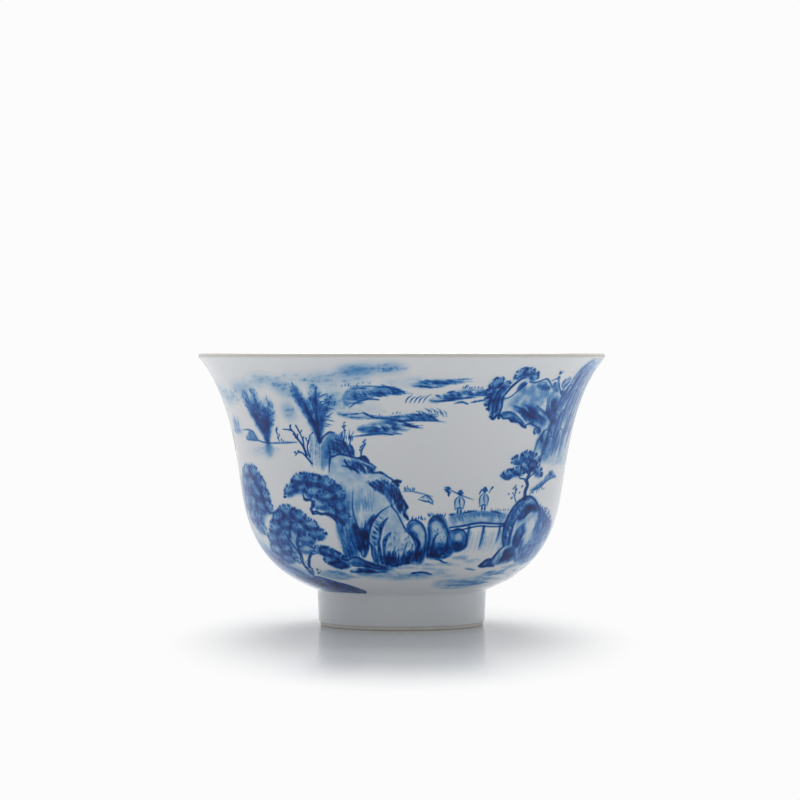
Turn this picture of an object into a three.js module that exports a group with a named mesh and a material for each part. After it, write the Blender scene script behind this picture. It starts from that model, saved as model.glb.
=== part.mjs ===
// A small flared teacup in glazed porcelain: a thrown bowl on a turned foot ring,
// under its coats of glaze. Millimetres, +Z up. The origin is on the axis, in the
// plane that the foot stands on.
//
// Every piece is a solid of revolution. Neighbouring pieces are built from the same
// profile points, so each coat of glaze meets the clay under it without a gap.

import * as THREE from 'three';

const degrees = Math.PI / 180;

// Overall sizes
const rimRadius = 40;
const height = 53.5;

// Foot
const footHeight = 7.0;
const footTopRadius = 16.6;
const footBaseRadius = 16.35;
const footWall = 1.9;
const footEdgeBevel = 0.35;
const recessDepth = 5.2;
const recessTaper = 0.5;

// Outer curve of the bowl: the belly swells from the foot to the waist, and the
// flare opens from the waist to the lip. Angles are from the horizontal.
const waistRadius = 31.93;
const waistHeight = 29.28;
const bellyAngle = 20.6 * degrees;
const waistAngle = 81.5 * degrees;
const lipAngle = 48.7 * degrees;
const bellyReach = 14.0;
const waistReachDown = 7.8;
const waistReachUp = 5.0;
const lipReach = 8.7;

// Walls, glaze included
const lipThickness = 1.1;
const wallAtFoot = 2.4;
const floorThickness = 2.6;
const floorReach = 8.0;
const floorBlend = 4.0;

// Glaze
const glazeThickness = 0.3;
const bareBand = 0.7; // clay left bare above the land of the foot

// Facets
const turns = 48;
const bellySteps = 7;
const flareSteps = 5;
const floorSteps = 4;
const lipSteps = 6;
const clayLipSteps = 4;

const porcelain = new THREE.MeshStandardMaterial({ color: 0xf1efe8, roughness: 0.55, metalness: 0 });
const biscuit = new THREE.MeshStandardMaterial({ color: 0xe9e4d8, roughness: 0.8, metalness: 0 });
const glaze = new THREE.MeshStandardMaterial({ color: 0xeef2f3, roughness: 0.08, metalness: 0 });

const at = (radius, z) => new THREE.Vector2(radius, z);
const along = (angle) => at(Math.cos(angle), Math.sin(angle));
const inwardOf = (tangent) => at(-tangent.y, tangent.x);
const footFace = (z) => THREE.MathUtils.lerp(footBaseRadius, footTopRadius, z / footHeight);
const clayFace = (z) => footFace(z) - glazeThickness;
const recessClayFace = (z) => clayFace(0) - footWall - recessTaper * (z / recessDepth);
const recessFace = (z) => recessClayFace(z) - glazeThickness;

// A smooth profile curve that leaves start and reaches end at the given angles.
function profileCurve(start, startAngle, startReach, end, endAngle, endReach) {
  return new THREE.CubicBezierCurve(
    start,
    start.clone().addScaledVector(along(startAngle), startReach),
    end.clone().addScaledVector(along(endAngle), -endReach),
    end
  );
}

// Points of an arc, without its two ends.
function arcBetween(centre, radius, fromAngle, toAngle, steps) {
  const points = [];
  for (let i = 1; i < steps; i += 1) {
    const angle = THREE.MathUtils.lerp(fromAngle, toAngle, i / steps);
    points.push(centre.clone().addScaledVector(along(angle), radius));
  }
  return points;
}

// Points of a curve with the direction into the wall at each.
function sampleSkin(curve, steps) {
  const samples = [];
  for (let i = 0; i <= steps; i += 1) {
    const point = curve.getPoint(i / steps);
    samples.push({ point, inward: inwardOf(curve.getTangent(i / steps)) });
  }
  return samples;
}

// The outer skin of the bowl, from the top of the foot to the edge of the lip
const lipRadius = lipThickness / 2;
const lipCentre = at(rimRadius - lipRadius, height - lipRadius);
const lipEdge = lipCentre.clone().addScaledVector(along(lipAngle - Math.PI / 2), lipRadius);
const footTop = at(footTopRadius, footHeight);
const waist = at(waistRadius, waistHeight);
const belly = profileCurve(footTop, bellyAngle, bellyReach, waist, waistAngle, waistReachDown);
const flare = profileCurve(waist, waistAngle, waistReachUp, lipEdge, lipAngle, lipReach);
const skin = [...sampleSkin(belly, bellySteps), ...sampleSkin(flare, flareSteps).slice(1)];

// The wall thins steadily from the foot to the lip.
function wallThickness(z) {
  const rise = (z - footTop.y) / (lipEdge.y - footTop.y);
  return THREE.MathUtils.lerp(wallAtFoot, lipThickness, rise);
}

function wallLayer(depth) {
  return skin.map(({ point, inward }) => point.clone().addScaledVector(inward, depth(point.y)));
}

const outerFace = wallLayer(() => 0);
const outerClay = wallLayer(() => glazeThickness);
const innerClay = wallLayer((z) => wallThickness(z) - glazeThickness);
const innerFace = wallLayer(wallThickness);

// Where the bowl meets the foot, the clay keeps a sharp corner under an even glaze.
const footInward = inwardOf(at(footTopRadius - footBaseRadius, footHeight).normalize());
const bellyInward = skin[0].inward;
const mitreLength = glazeThickness / (1 + bellyInward.dot(footInward));
outerClay[0] = footTop.clone().addScaledVector(bellyInward.clone().add(footInward), mitreLength);

// The inside floor runs from the axis out to the wall.
const floorTop = recessDepth + floorThickness;
function floorLayer(z, wallStart) {
  const start = at(0, z);
  const curve = profileCurve(start, 0, floorReach, wallStart, bellyAngle, floorBlend);
  return curve.getPoints(floorSteps).slice(0, -1);
}
const clayFloor = floorLayer(floorTop - glazeThickness, innerClay[0]);
const innerFloor = floorLayer(floorTop, innerFace[0]);

const lipStart = lipAngle - Math.PI / 2;
const lipEnd = lipAngle + Math.PI / 2;
const lipArc = arcBetween(lipCentre, lipRadius, lipStart, lipEnd, lipSteps);
const clayLipRadius = lipRadius - glazeThickness;
const clayLipArc = arcBetween(lipCentre, clayLipRadius, lipStart, lipEnd, clayLipSteps);

const closed = (points) => [...points, points[0]];
const reversed = (points) => [...points].reverse();

// The clay of the foot ring ends, and the bowl's begins, level with the recess's roof.
const joint = recessDepth + glazeThickness;

const bowlProfile = [
  at(0, joint),
  at(recessClayFace(joint), joint),
  at(clayFace(joint), joint),
  ...outerClay,
  ...clayLipArc,
  ...reversed(innerClay),
  ...reversed(clayFloor)
];

const footRingProfile = closed([
  at(clayFace(0) - footWall + footEdgeBevel, 0),
  at(clayFace(0) - footEdgeBevel, 0),
  at(clayFace(footEdgeBevel), footEdgeBevel),
  at(clayFace(bareBand), bareBand),
  at(clayFace(joint), joint),
  at(recessClayFace(joint), joint),
  at(recessClayFace(bareBand), bareBand),
  at(recessClayFace(footEdgeBevel), footEdgeBevel)
]);

const footGlazeProfile = closed([
  at(clayFace(bareBand), bareBand),
  at(footFace(bareBand), bareBand),
  footTop,
  outerClay[0],
  at(clayFace(joint), joint)
]);

const baseGlazeProfile = [
  at(0, recessDepth),
  at(recessFace(recessDepth), recessDepth),
  at(recessFace(bareBand), bareBand),
  at(recessClayFace(bareBand), bareBand),
  at(recessClayFace(joint), joint),
  at(0, joint)
];

const outerGlazeProfile = closed([...outerFace, ...reversed(outerClay)]);

const lipGlazeProfile = closed([
  outerFace.at(-1),
  ...lipArc,
  innerFace.at(-1),
  innerClay.at(-1),
  ...reversed(clayLipArc),
  outerClay.at(-1)
]);

const innerGlazeProfile = [
  ...clayFloor,
  ...innerClay,
  ...reversed(innerFace),
  ...reversed(innerFloor)
];

const teacup = new THREE.Group();

// Turns a profile about the cup's axis.
function addTurned(name, profile, material) {
  const geometry = new THREE.LatheGeometry(profile, turns);
  geometry.rotateX(Math.PI / 2);
  const piece = new THREE.Mesh(geometry, material);
  piece.name = name;
  teacup.add(piece);
}

addTurned('porcelain_bowl', bowlProfile, porcelain);
addTurned('foot_ring', footRingProfile, biscuit);
addTurned('outer_glaze', outerGlazeProfile, glaze);
addTurned('inner_glaze', innerGlazeProfile, glaze);
addTurned('lip_glaze', lipGlazeProfile, glaze);
addTurned('foot_glaze', footGlazeProfile, glaze);
addTurned('base_glaze', baseGlazeProfile, glaze);

export default teacup;
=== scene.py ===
# %% [markdown]
# # A flared porcelain teacup, painted under the glaze
#
# The cup is a small thrown bowl on a turned foot ring. It was painted with cobalt on
# the raw clay, dipped in clear glaze and fired once. This lesson builds how it looks:
# the smooth glazed skins, the bare clay edge that it stands on, and a river landscape
# brushed right round the outside.
#
# A measured model comes first and is never changed. It gives every height and width
# below, so a piece made here is already in its place.

# %% The measured model
from math import atan2, ceil, cos, degrees, hypot, pi, radians, sin, tan

import bpy
import numpy as np
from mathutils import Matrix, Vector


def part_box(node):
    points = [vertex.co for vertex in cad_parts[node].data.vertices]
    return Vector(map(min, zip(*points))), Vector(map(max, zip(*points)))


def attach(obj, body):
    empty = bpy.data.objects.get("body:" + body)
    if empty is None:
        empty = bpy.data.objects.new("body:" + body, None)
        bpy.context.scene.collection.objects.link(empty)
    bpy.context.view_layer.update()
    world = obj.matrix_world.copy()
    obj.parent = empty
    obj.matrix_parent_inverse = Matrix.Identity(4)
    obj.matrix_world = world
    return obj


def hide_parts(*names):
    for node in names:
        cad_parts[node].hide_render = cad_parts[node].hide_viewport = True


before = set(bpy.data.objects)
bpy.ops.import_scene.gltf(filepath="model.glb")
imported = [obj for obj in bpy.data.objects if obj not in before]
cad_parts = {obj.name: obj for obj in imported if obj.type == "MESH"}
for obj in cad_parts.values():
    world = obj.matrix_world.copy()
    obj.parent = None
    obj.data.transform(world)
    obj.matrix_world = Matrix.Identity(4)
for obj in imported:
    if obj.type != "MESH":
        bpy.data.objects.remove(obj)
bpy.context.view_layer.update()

print("measured nodes:", ", ".join(sorted(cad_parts)))


# %% [markdown]
# Blender works in metres and a potter thinks in millimetres, so sizes below are in
# millimetres, and `MM` turns them into Blender's units where a mesh or lamp is made.

# %% Sizes taken from the measured model
MM = 0.001


def size_of(node):
    """Lowest and highest corner of a measured node, in millimetres."""
    low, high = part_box(node)
    return np.array(low) / MM, np.array(high) / MM


lip_high = size_of("lip_glaze")[1]
foot_high = size_of("foot_ring")[1]
foot_glaze_low, foot_glaze_high = size_of("foot_glaze")
outer_low = size_of("outer_glaze")[0]
recess_high = size_of("base_glaze")[1]
RIM_RADIUS = round(lip_high[0], 1)
CUP_HEIGHT = round(lip_high[2], 1)
FOOT_HEIGHT = round(foot_glaze_high[2], 2)
print(f"rim {2 * RIM_RADIUS:.1f} mm across, {CUP_HEIGHT:.1f} mm high, foot {FOOT_HEIGHT:.1f} mm")


# %% [markdown]
# ## The camera
#
# A long lens from seven tenths of a metre keeps the foot and the rim almost free of
# perspective. The eye is level with the rim, so the mouth closes to a thin line, and
# the camera looks down by less than a degree to leave room for the floor.

# %% Camera level with the rim
LENS = 160.5
EYE_DISTANCE = 703.0
EYE_OFFSET = -0.35
TILT_DOWN = radians(0.75)
SENSOR_WIDTH = 36.0
NEAREST_SEEN = 10.0

lens = bpy.data.cameras.new("studio_lens")
lens.lens = LENS
lens.sensor_width = SENSOR_WIDTH
lens.clip_start = NEAREST_SEEN * MM
camera = bpy.data.objects.new("studio_camera", lens)
camera.location = (EYE_OFFSET * MM, -EYE_DISTANCE * MM, CUP_HEIGHT * MM)
camera.rotation_euler = (pi / 2 - TILT_DOWN, 0.0, 0.0)
bpy.context.scene.collection.objects.link(camera)
bpy.context.scene.camera = camera
print(f"camera {EYE_DISTANCE:.0f} mm away, {LENS:.0f} mm lens")


# %% [markdown]
# ## Colours and nodes
#
# Colours are given as a painter's hex values. They are display values, and a shader
# works in linear light, so one function converts them. A second one adds a node, sets
# it up and joins it, whatever kind of node it is.

# %% Two helpers for every material
def colour(hex_value):
    """A display hex colour as linear red, green, blue and alpha."""
    channels = [int(hex_value[i:i + 2], 16) / 255 for i in (1, 3, 5)]
    linear = [c / 12.92 if c <= 0.04045 else ((c + 0.055) / 1.055) ** 2.4 for c in channels]
    return (*linear, 1.0)


def add_node(tree, kind, settings=None, values=None, links=None):
    """Adds a node; settings are its own options, values its sockets, links what feeds them."""
    node = tree.nodes.new(kind)
    for name, value in (settings or {}).items():
        setattr(node, name, value)
    for socket, value in (values or {}).items():
        node.inputs[socket].default_value = value
    for socket, source in (links or {}).items():
        tree.links.new(source, node.inputs[socket])
    return node


# %% [markdown]
# ## The studio
#
# The cup stands on a pale, slightly polished table in a white tent. The tent glows at
# the back and sides and is dim where the viewer stands, so the front of the cup
# is modelled in soft greys while its outline, which mirrors the sides, turns white.
# The tent is the world's colour, a smooth function of direction. To the eye it is one
# even white.

# %% The tent
TENT_BACK = 0.64
TENT_FRONT = 0.4
TENT_TOP = 1.0
DIM_BELOW = -0.9    # parts of a direction between which the tent changes, -1 to 1
GLOWS_ABOVE = 0.7
WALL_BELOW = 0.1
ROOF_ABOVE = 0.8
TENT_CLOTH = "#fdfeff"
EVEN_WHITE = "#fcfcfc"
bpy.context.scene.view_settings.view_transform = "Standard"
world = bpy.data.worlds.new("white_tent")
bpy.context.scene.world = world
world.use_nodes = True
tent = world.node_tree
tent.nodes.clear()
direction = add_node(tent, "ShaderNodeTexCoord").outputs["Generated"]
parts = add_node(tent, "ShaderNodeSeparateXYZ", links={"Vector": direction})
towards_back = add_node(
    tent, "ShaderNodeMapRange", {"interpolation_type": "SMOOTHSTEP"},
    {"From Min": DIM_BELOW, "From Max": GLOWS_ABOVE, "To Min": TENT_FRONT, "To Max": TENT_BACK},
    {"Value": parts.outputs["Y"]})
upwards = add_node(
    tent, "ShaderNodeMapRange", {"interpolation_type": "SMOOTHSTEP"},
    {"From Min": WALL_BELOW, "From Max": ROOF_ABOVE, "To Min": 1.0, "To Max": TENT_TOP},
    {"Value": parts.outputs["Z"]})
glow = add_node(
    tent, "ShaderNodeMath", {"operation": "MULTIPLY"},
    links={0: towards_back.outputs["Result"], 1: upwards.outputs["Result"]})
cloth = add_node(tent, "ShaderNodeBackground", values={"Color": colour(TENT_CLOTH)},
                 links={"Strength": glow.outputs["Value"]})
seen_cloth = add_node(tent, "ShaderNodeBackground", values={"Color": colour(EVEN_WHITE)})
seen = add_node(tent, "ShaderNodeLightPath").outputs["Is Camera Ray"]
tent_wall = add_node(tent, "ShaderNodeMixShader",
                     links={0: seen, 1: cloth.outputs[0], 2: seen_cloth.outputs[0]})
add_node(tent, "ShaderNodeOutputWorld", links={"Surface": tent_wall.outputs[0]})
print(f"tent: {TENT_BACK} behind, {TENT_FRONT} in front, {TENT_TOP} overhead")


# %% [markdown]
# One large softbox hangs behind the cup and is aimed at it. It lights the table and the
# inside of the cup, throws the cup's shadow towards the viewer, and leaves the underside
# of the belly in the cup's own shade.

# %% The softbox
SOFTBOX_WIDTH = 700.0
SOFTBOX_HEIGHT = 760.0
SOFTBOX_BEHIND = 480.0
SOFTBOX_WATTS = 7.0
softbox_lamp = bpy.data.lights.new("softbox", "AREA")
softbox_lamp.shape = "SQUARE"
softbox_lamp.size = SOFTBOX_WIDTH * MM
softbox_lamp.energy = SOFTBOX_WATTS
softbox = bpy.data.objects.new("softbox", softbox_lamp)
softbox.location = (0.0, SOFTBOX_BEHIND * MM, SOFTBOX_HEIGHT * MM)
softbox.rotation_euler = (-atan2(SOFTBOX_BEHIND, SOFTBOX_HEIGHT), 0.0, 0.0)
bpy.context.scene.collection.objects.link(softbox)
print(f"softbox {SOFTBOX_HEIGHT:.0f} mm up and {SOFTBOX_BEHIND:.0f} mm behind the cup")


# %% [markdown]
# The table is a wide disc of white acrylic sheet. Its polish is a little worn, so it
# mirrors the foot softly, and clearest where the foot touches it. Only a narrow patch
# round the foot and in front of it keeps its shade. Beyond that the sheet brightens
# until, to the eye, it is the same even white as the tent, so no horizon shows.

# %% The table
TABLE_RADIUS = 4000.0
bpy.ops.object.select_all(action="DESELECT")
bpy.ops.mesh.primitive_circle_add(vertices=96, radius=TABLE_RADIUS * MM, fill_type="NGON")
table = bpy.context.object
table.name = "table"

CLEAR_RADIUS = 45.0
WHITE_RADIUS = 110.0
PATCH_FORWARD = 35.0
PATCH_NARROWING = 2.4
WEAR_PER_METRE = 30.0
POLISHED = 0.1
WORN = 0.16
ACRYLIC_IOR = 1.49
acrylic = bpy.data.materials.new("white_acrylic_sheet_softly_polished")
acrylic.use_nodes = True
tree = acrylic.node_tree
spot = add_node(tree, "ShaderNodeTexCoord").outputs["Object"]
polish = add_node(tree, "ShaderNodeTexNoise", values={"Scale": WEAR_PER_METRE, "Detail": 3.0},
                  links={"Vector": spot})
worn = add_node(tree, "ShaderNodeMapRange", values={"To Min": POLISHED, "To Max": WORN},
                links={"Value": polish.outputs["Fac"]})
acrylic_shader = tree.nodes["Principled BSDF"]
acrylic_shader.inputs["Base Color"].default_value = colour("#eeeff2")
acrylic_shader.inputs["IOR"].default_value = ACRYLIC_IOR
tree.links.new(worn.outputs["Result"], acrylic_shader.inputs["Roughness"])
on_patch = add_node(tree, "ShaderNodeMapping",
                    values={"Location": (0.0, PATCH_FORWARD * MM, 0.0),
                            "Scale": (PATCH_NARROWING, 1.0, 1.0)},
                    links={"Vector": spot})
from_cup = add_node(tree, "ShaderNodeVectorMath", {"operation": "LENGTH"},
                    links={0: on_patch.outputs["Vector"]})
brighten = add_node(tree, "ShaderNodeMapRange", {"interpolation_type": "SMOOTHSTEP"},
                    {"From Min": CLEAR_RADIUS * MM, "From Max": WHITE_RADIUS * MM},
                    {"Value": from_cup.outputs["Value"]})
looking = add_node(tree, "ShaderNodeLightPath").outputs["Is Camera Ray"]
to_the_eye = add_node(tree, "ShaderNodeMath", {"operation": "MULTIPLY"},
                      links={0: brighten.outputs["Result"], 1: looking})
even_white = add_node(tree, "ShaderNodeEmission", values={"Color": colour(EVEN_WHITE)})
sheet = add_node(tree, "ShaderNodeMixShader",
                 links={0: to_the_eye.outputs[0], 1: acrylic_shader.outputs[0],
                        2: even_white.outputs[0]})
tree.links.new(sheet.outputs[0], tree.nodes["Material Output"].inputs["Surface"])
table.data.materials.append(acrylic)
print(f"table {2 * TABLE_RADIUS * MM:.0f} m across")


# %% [markdown]
# ## The curve of the cup
#
# A potter's rib gives the outside one sweep: a round belly that springs from the foot,
# an almost upright waist, and a flare that opens to the lip. Two Bezier curves that
# share their direction at the waist draw it. The wall follows inside, thick at the
# foot and thin at the lip.

# %% The outer curve
WAIST_RADIUS = 31.93
WAIST_HEIGHT = 29.28
FOOT_TOP_RADIUS = 16.6
FOOT_BASE_RADIUS = 16.35
BELLY_ANGLE = radians(20.6)
WAIST_ANGLE = radians(81.5)
LIP_ANGLE = radians(48.7)
BELLY_REACH = 14.0     # how far each end's direction is held
UNDER_WAIST_REACH = 7.8
OVER_WAIST_REACH = 5.0
LIP_REACH = 8.7
BELLY_STEPS = 44
FLARE_STEPS = 36
LIP_THICKNESS = 1.1
FOOT_TOP = outer_low[2]
LIP_ROUND = LIP_THICKNESS / 2


def heading(angle):
    """A step of length one at an angle from level."""
    return np.array((cos(angle), sin(angle)))


def bezier(start, start_angle, start_reach, end, end_angle, end_reach, steps):
    """Points of a cubic curve that leaves start and reaches end at the given angles."""
    start = np.array(start)
    end = np.array(end)
    handle_out = start + heading(start_angle) * start_reach
    handle_in = end - heading(end_angle) * end_reach
    t = np.linspace(0, 1, steps + 1)[:, None]
    return ((1 - t) ** 3 * start + 3 * (1 - t) ** 2 * t * handle_out
            + 3 * (1 - t) * t ** 2 * handle_in + t ** 3 * end)


lip_centre = np.array((RIM_RADIUS - LIP_ROUND, CUP_HEIGHT - LIP_ROUND))
lip_edge = lip_centre + LIP_ROUND * np.array((sin(LIP_ANGLE), -cos(LIP_ANGLE)))
waist = (WAIST_RADIUS, WAIST_HEIGHT)
belly = bezier((FOOT_TOP_RADIUS, FOOT_TOP), BELLY_ANGLE, BELLY_REACH,
               waist, WAIST_ANGLE, UNDER_WAIST_REACH, BELLY_STEPS)
flare = bezier(waist, WAIST_ANGLE, OVER_WAIST_REACH, lip_edge, LIP_ANGLE, LIP_REACH, FLARE_STEPS)
outer_face = np.vstack([belly, flare[1:]])
face_arc = np.concatenate([[0], np.cumsum(np.hypot(*np.diff(outer_face, axis=0).T))])
FACE_LENGTH = face_arc[-1]
print(f"outer curve {FACE_LENGTH:.1f} mm long from foot to lip")


# %% The inner curve
GLAZE = 0.3
WALL_AT_FOOT = 2.4
FLOOR_THICKNESS = 2.6
WELL_REACH = 8.0
WELL_EDGE_REACH = 4.0
WELL_STEPS = 20


def normals_of(line):
    """Unit normals of a profile, to the left of its direction of travel."""
    along = np.gradient(line, axis=0)
    along /= np.hypot(*along.T)[:, None]
    return np.column_stack([-along[:, 1], along[:, 0]])


def offset_face(line, depth):
    """A profile moved sideways, by one depth or by one for each point."""
    return line + normals_of(line) * np.reshape(depth, (-1, 1))


FLOOR_HEIGHT = recess_high[2] - GLAZE + FLOOR_THICKNESS
height_share = (outer_face[:, 1] - FOOT_TOP) / (lip_edge[1] - FOOT_TOP)
wall = WALL_AT_FOOT + (LIP_THICKNESS - WALL_AT_FOOT) * height_share
inner_face = offset_face(outer_face, wall)
well_angle = atan2(*(inner_face[1] - inner_face[0])[::-1])
well = bezier((0.0, FLOOR_HEIGHT), 0.0, WELL_REACH,
              inner_face[0], well_angle, WELL_EDGE_REACH, WELL_STEPS)
print(f"floor of the cup at {FLOOR_HEIGHT:.1f} mm, wall {wall[0]:.1f} to {wall[-1]:.1f} mm")


# %% [markdown]
# ## Turning the pieces
#
# A lathe is the natural tool: one vertex is extruded point by point along a profile,
# and Spin carries it once round the axis. Each coat of glaze is a closed ring 0.3 mm
# thick, and the clay that it covers is turned from the same points, so the coats fit
# each other and the clay exactly as the measured pieces do.

# %% A lathe
TURNS = 192
SAME_POINT = 0.004
SMOOTH_UNDER = radians(40)


def only(piece):
    """Selects one object and makes it active."""
    bpy.ops.object.select_all(action="DESELECT")
    piece.select_set(True)
    bpy.context.view_layer.objects.active = piece


def turn_on_lathe(name, profile, on_axis=False):
    """Extrudes a vertex along a profile in millimetres and spins it into a solid."""
    bpy.ops.object.select_all(action="DESELECT")
    bpy.ops.mesh.primitive_plane_add(size=0.001)
    piece = bpy.context.object
    piece.name = name
    bpy.ops.object.mode_set(mode="EDIT")
    bpy.ops.mesh.select_all(action="SELECT")
    bpy.ops.mesh.merge(type="CENTER")
    points = [np.array((r, 0.0, z)) * MM for r, z in profile]
    bpy.ops.transform.translate(value=points[0])
    loop = points[1:] if on_axis else points[1:] + points[:1]
    here = points[0]
    for there in loop:
        move = {"value": tuple(there - here)}
        bpy.ops.mesh.extrude_region_move(TRANSFORM_OT_translate=move)
        here = there
    bpy.ops.mesh.select_all(action="SELECT")
    bpy.ops.mesh.spin(steps=TURNS, angle=2 * pi, center=(0, 0, 0), axis=(0, 0, 1), dupli=False)
    bpy.ops.mesh.select_all(action="SELECT")
    bpy.ops.mesh.remove_doubles(threshold=SAME_POINT * MM)
    bpy.ops.mesh.normals_make_consistent(inside=False)
    bpy.ops.object.mode_set(mode="OBJECT")
    only(piece)
    bpy.ops.object.shade_smooth_by_angle(angle=SMOOTH_UNDER)
    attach(piece, "root")
    print(f"{name}: {len(piece.data.polygons)} faces")
    return piece


# %% [markdown]
# The bowl's clay is turned in one piece up to the rounded lip. The glaze on it is
# parted into an outside coat, an inside coat and the roll over the lip, where it runs
# thin and a warmer tone comes through.

# %% The bowl and its coats
LIP_STEPS = 20
inner_line = np.vstack([well, inner_face[1:]])
outer_clay = offset_face(outer_face, GLAZE)
inner_clay = offset_face(inner_line, -GLAZE)
inner_clay[0, 0] = 0.0


def lip_arc(radius):
    """Half circle over the lip, from the outside edge to the inside edge."""
    angles = LIP_ANGLE - pi / 2 + np.linspace(0, pi, LIP_STEPS + 1)
    return lip_centre + radius * np.column_stack([np.cos(angles), np.sin(angles)])


def foot_radius(height):
    """Outside radius of the glazed foot, which widens a little upwards."""
    return FOOT_BASE_RADIUS + (FOOT_TOP_RADIUS - FOOT_BASE_RADIUS) * height / FOOT_TOP


JOINT_HEIGHT = foot_high[2]
clay_at_joint = (foot_radius(JOINT_HEIGHT) - GLAZE, JOINT_HEIGHT)
bowl_profile = [(0.0, JOINT_HEIGHT), clay_at_joint, *outer_clay,
                *lip_arc(LIP_ROUND - GLAZE)[1:-1], *inner_clay[::-1]]
clay_bowl = turn_on_lathe("clay_bowl", bowl_profile, on_axis=True)
outer_coat = turn_on_lathe("outer_coat", [*outer_face, *outer_clay[::-1]])
inner_coat = turn_on_lathe("inner_coat", [*inner_line, *inner_clay[::-1]], on_axis=True)
lip_roll = turn_on_lathe("lip_roll", [*lip_arc(LIP_ROUND), *lip_arc(LIP_ROUND - GLAZE)[::-1]])


# %% [markdown]
# The foot was cut from the same clay on the wheel. Its glaze stops short of the land,
# the flat ring that it stands on, which was wiped clean so that it would not stick to
# the kiln shelf. Glaze ends in a small rounded roll there, and it pools in the corner
# under the belly, where it fills the angle with a soft hollow.

# %% The foot, its coat and the glazed recess
BARE_BAND = foot_glaze_low[2]
POOL_RADIUS = 0.75
EDGE_ROUND = 0.35
LAND_INNER = 14.5
LAND_OUTER = 15.7
FOOT_WALL = 1.9
RECESS_TAPER = 0.5
RECESS_CORNER = 0.9
TUCK = 0.06            # how far the foot's coat reaches in under the belly's
RECESS_ROOF = JOINT_HEIGHT - GLAZE


def arc(centre, radius, start, end, steps):
    """Points of an arc in a profile; angles are in degrees."""
    angles = np.radians(np.linspace(start, end, steps + 1))
    return np.array(centre) + radius * np.column_stack([np.cos(angles), np.sin(angles)])


def recess_clay(height):
    """Inside radius of the foot's clay, which narrows towards the roof of the recess."""
    taper = RECESS_TAPER * height / RECESS_ROOF
    return FOOT_BASE_RADIUS - GLAZE - FOOT_WALL - taper


pool_reach = POOL_RADIUS * tan((pi / 2 - BELLY_ANGLE) / 2)
pool_centre = (FOOT_TOP_RADIUS + POOL_RADIUS, FOOT_TOP - pool_reach)
pool = arc(pool_centre, POOL_RADIUS, 180, 90 + degrees(BELLY_ANGLE), 10)
foot_roll = arc((foot_radius(BARE_BAND) - GLAZE, BARE_BAND + GLAZE), GLAZE, 270, 360, 6)
under_belly = [offset_face(outer_face, TUCK)[1], (foot_radius(FOOT_TOP) - GLAZE, FOOT_TOP)]
foot_coat = turn_on_lathe("foot_coat", [*foot_roll, *pool, *under_belly])

land_outside = arc((LAND_OUTER, EDGE_ROUND), EDGE_ROUND, 270, 360, 5)
land_inside = arc((LAND_INNER, EDGE_ROUND), EDGE_ROUND, 180, 270, 5)
foot_profile = [*land_inside, *land_outside, clay_at_joint,
                (recess_clay(JOINT_HEIGHT), JOINT_HEIGHT)]
clay_foot = turn_on_lathe("clay_foot", foot_profile)

roof_edge = recess_clay(RECESS_ROOF) - GLAZE
recess_corner = arc((roof_edge - RECESS_CORNER, RECESS_ROOF - RECESS_CORNER),
                    RECESS_CORNER, 90, 0, 8)
recess_roll = arc((recess_clay(BARE_BAND), BARE_BAND + GLAZE), GLAZE, 180, 270, 6)
recess_coat_profile = [(0.0, RECESS_ROOF), *recess_corner, *recess_roll,
                       (recess_clay(JOINT_HEIGHT), JOINT_HEIGHT), (0.0, JOINT_HEIGHT)]
recess_coat = turn_on_lathe("recess_coat", recess_coat_profile, on_axis=True)


# %% [markdown]
# ## The materials
#
# White porcelain under clear glaze is bright, cold and glossy. Fired glaze is never
# quite flat: it keeps a faint orange-peel and wider, shallow waves, so reflections
# tremble a little. The whiteness drifts by a shade, and a few pin-head iron specks show.

# %% Clear glaze over white porcelain
WAVE = 9.0
WAVE_HEIGHT = 0.016
PEEL = 1.6
PEEL_HEIGHT = 0.0007
TINT_DRIFT = 22.0
SPECK_SPACING = 7.0
SPECK_SIZE = 0.13
GLAZE_ROUGHNESS = 0.07
GLAZE_IOR = 1.46
GLAZE_GLOSS = 0.32
MIX_FACTOR = 0  # where a Mix node keeps its colour sockets
MIX_A = 6
MIX_B = 7
MIX_RESULT = 2


def place_of(tree):
    """Places on a piece, in metres."""
    return add_node(tree, "ShaderNodeTexCoord").outputs["Object"]


def per_metre(millimetres):
    """Texture scale whose features are this many millimetres apart."""
    return 1000.0 / millimetres


def mixed(tree, factor, first, second, blend="MIX"):
    """Mixes two colours, each a colour or the output of a node."""
    colours = {MIX_A: first, MIX_B: second}
    fixed = {socket: c for socket, c in colours.items() if isinstance(c, tuple)}
    linked = {socket: c for socket, c in colours.items() if not isinstance(c, tuple)}
    if isinstance(factor, float):
        fixed[MIX_FACTOR] = factor
    else:
        linked[MIX_FACTOR] = factor
    node = add_node(tree, "ShaderNodeMix", {"data_type": "RGBA", "blend_type": blend}, fixed, linked)
    return node.outputs[MIX_RESULT]


def tinted(tree, light, dark, spacing):
    """A tone that drifts between two tints."""
    drift = add_node(tree, "ShaderNodeTexNoise",
                     values={"Scale": per_metre(spacing), "Detail": 4.0, "Roughness": 0.55},
                     links={"Vector": place_of(tree)})
    return mixed(tree, drift.outputs["Fac"], colour(light), colour(dark))


def speckled(tree, base, speck):
    """Scatters a few round specks over a colour."""
    cells = add_node(tree, "ShaderNodeTexVoronoi", {"distance": "EUCLIDEAN"},
                     {"Scale": per_metre(SPECK_SPACING)}, {"Vector": place_of(tree)})
    inside = add_node(tree, "ShaderNodeMapRange", {"interpolation_type": "SMOOTHSTEP"},
                      {"From Min": 0.0, "From Max": SPECK_SIZE / SPECK_SPACING,
                       "To Min": 0.55, "To Max": 0.0},
                      {"Value": cells.outputs["Distance"]})
    return mixed(tree, inside.outputs["Result"], base, colour(speck))


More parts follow.
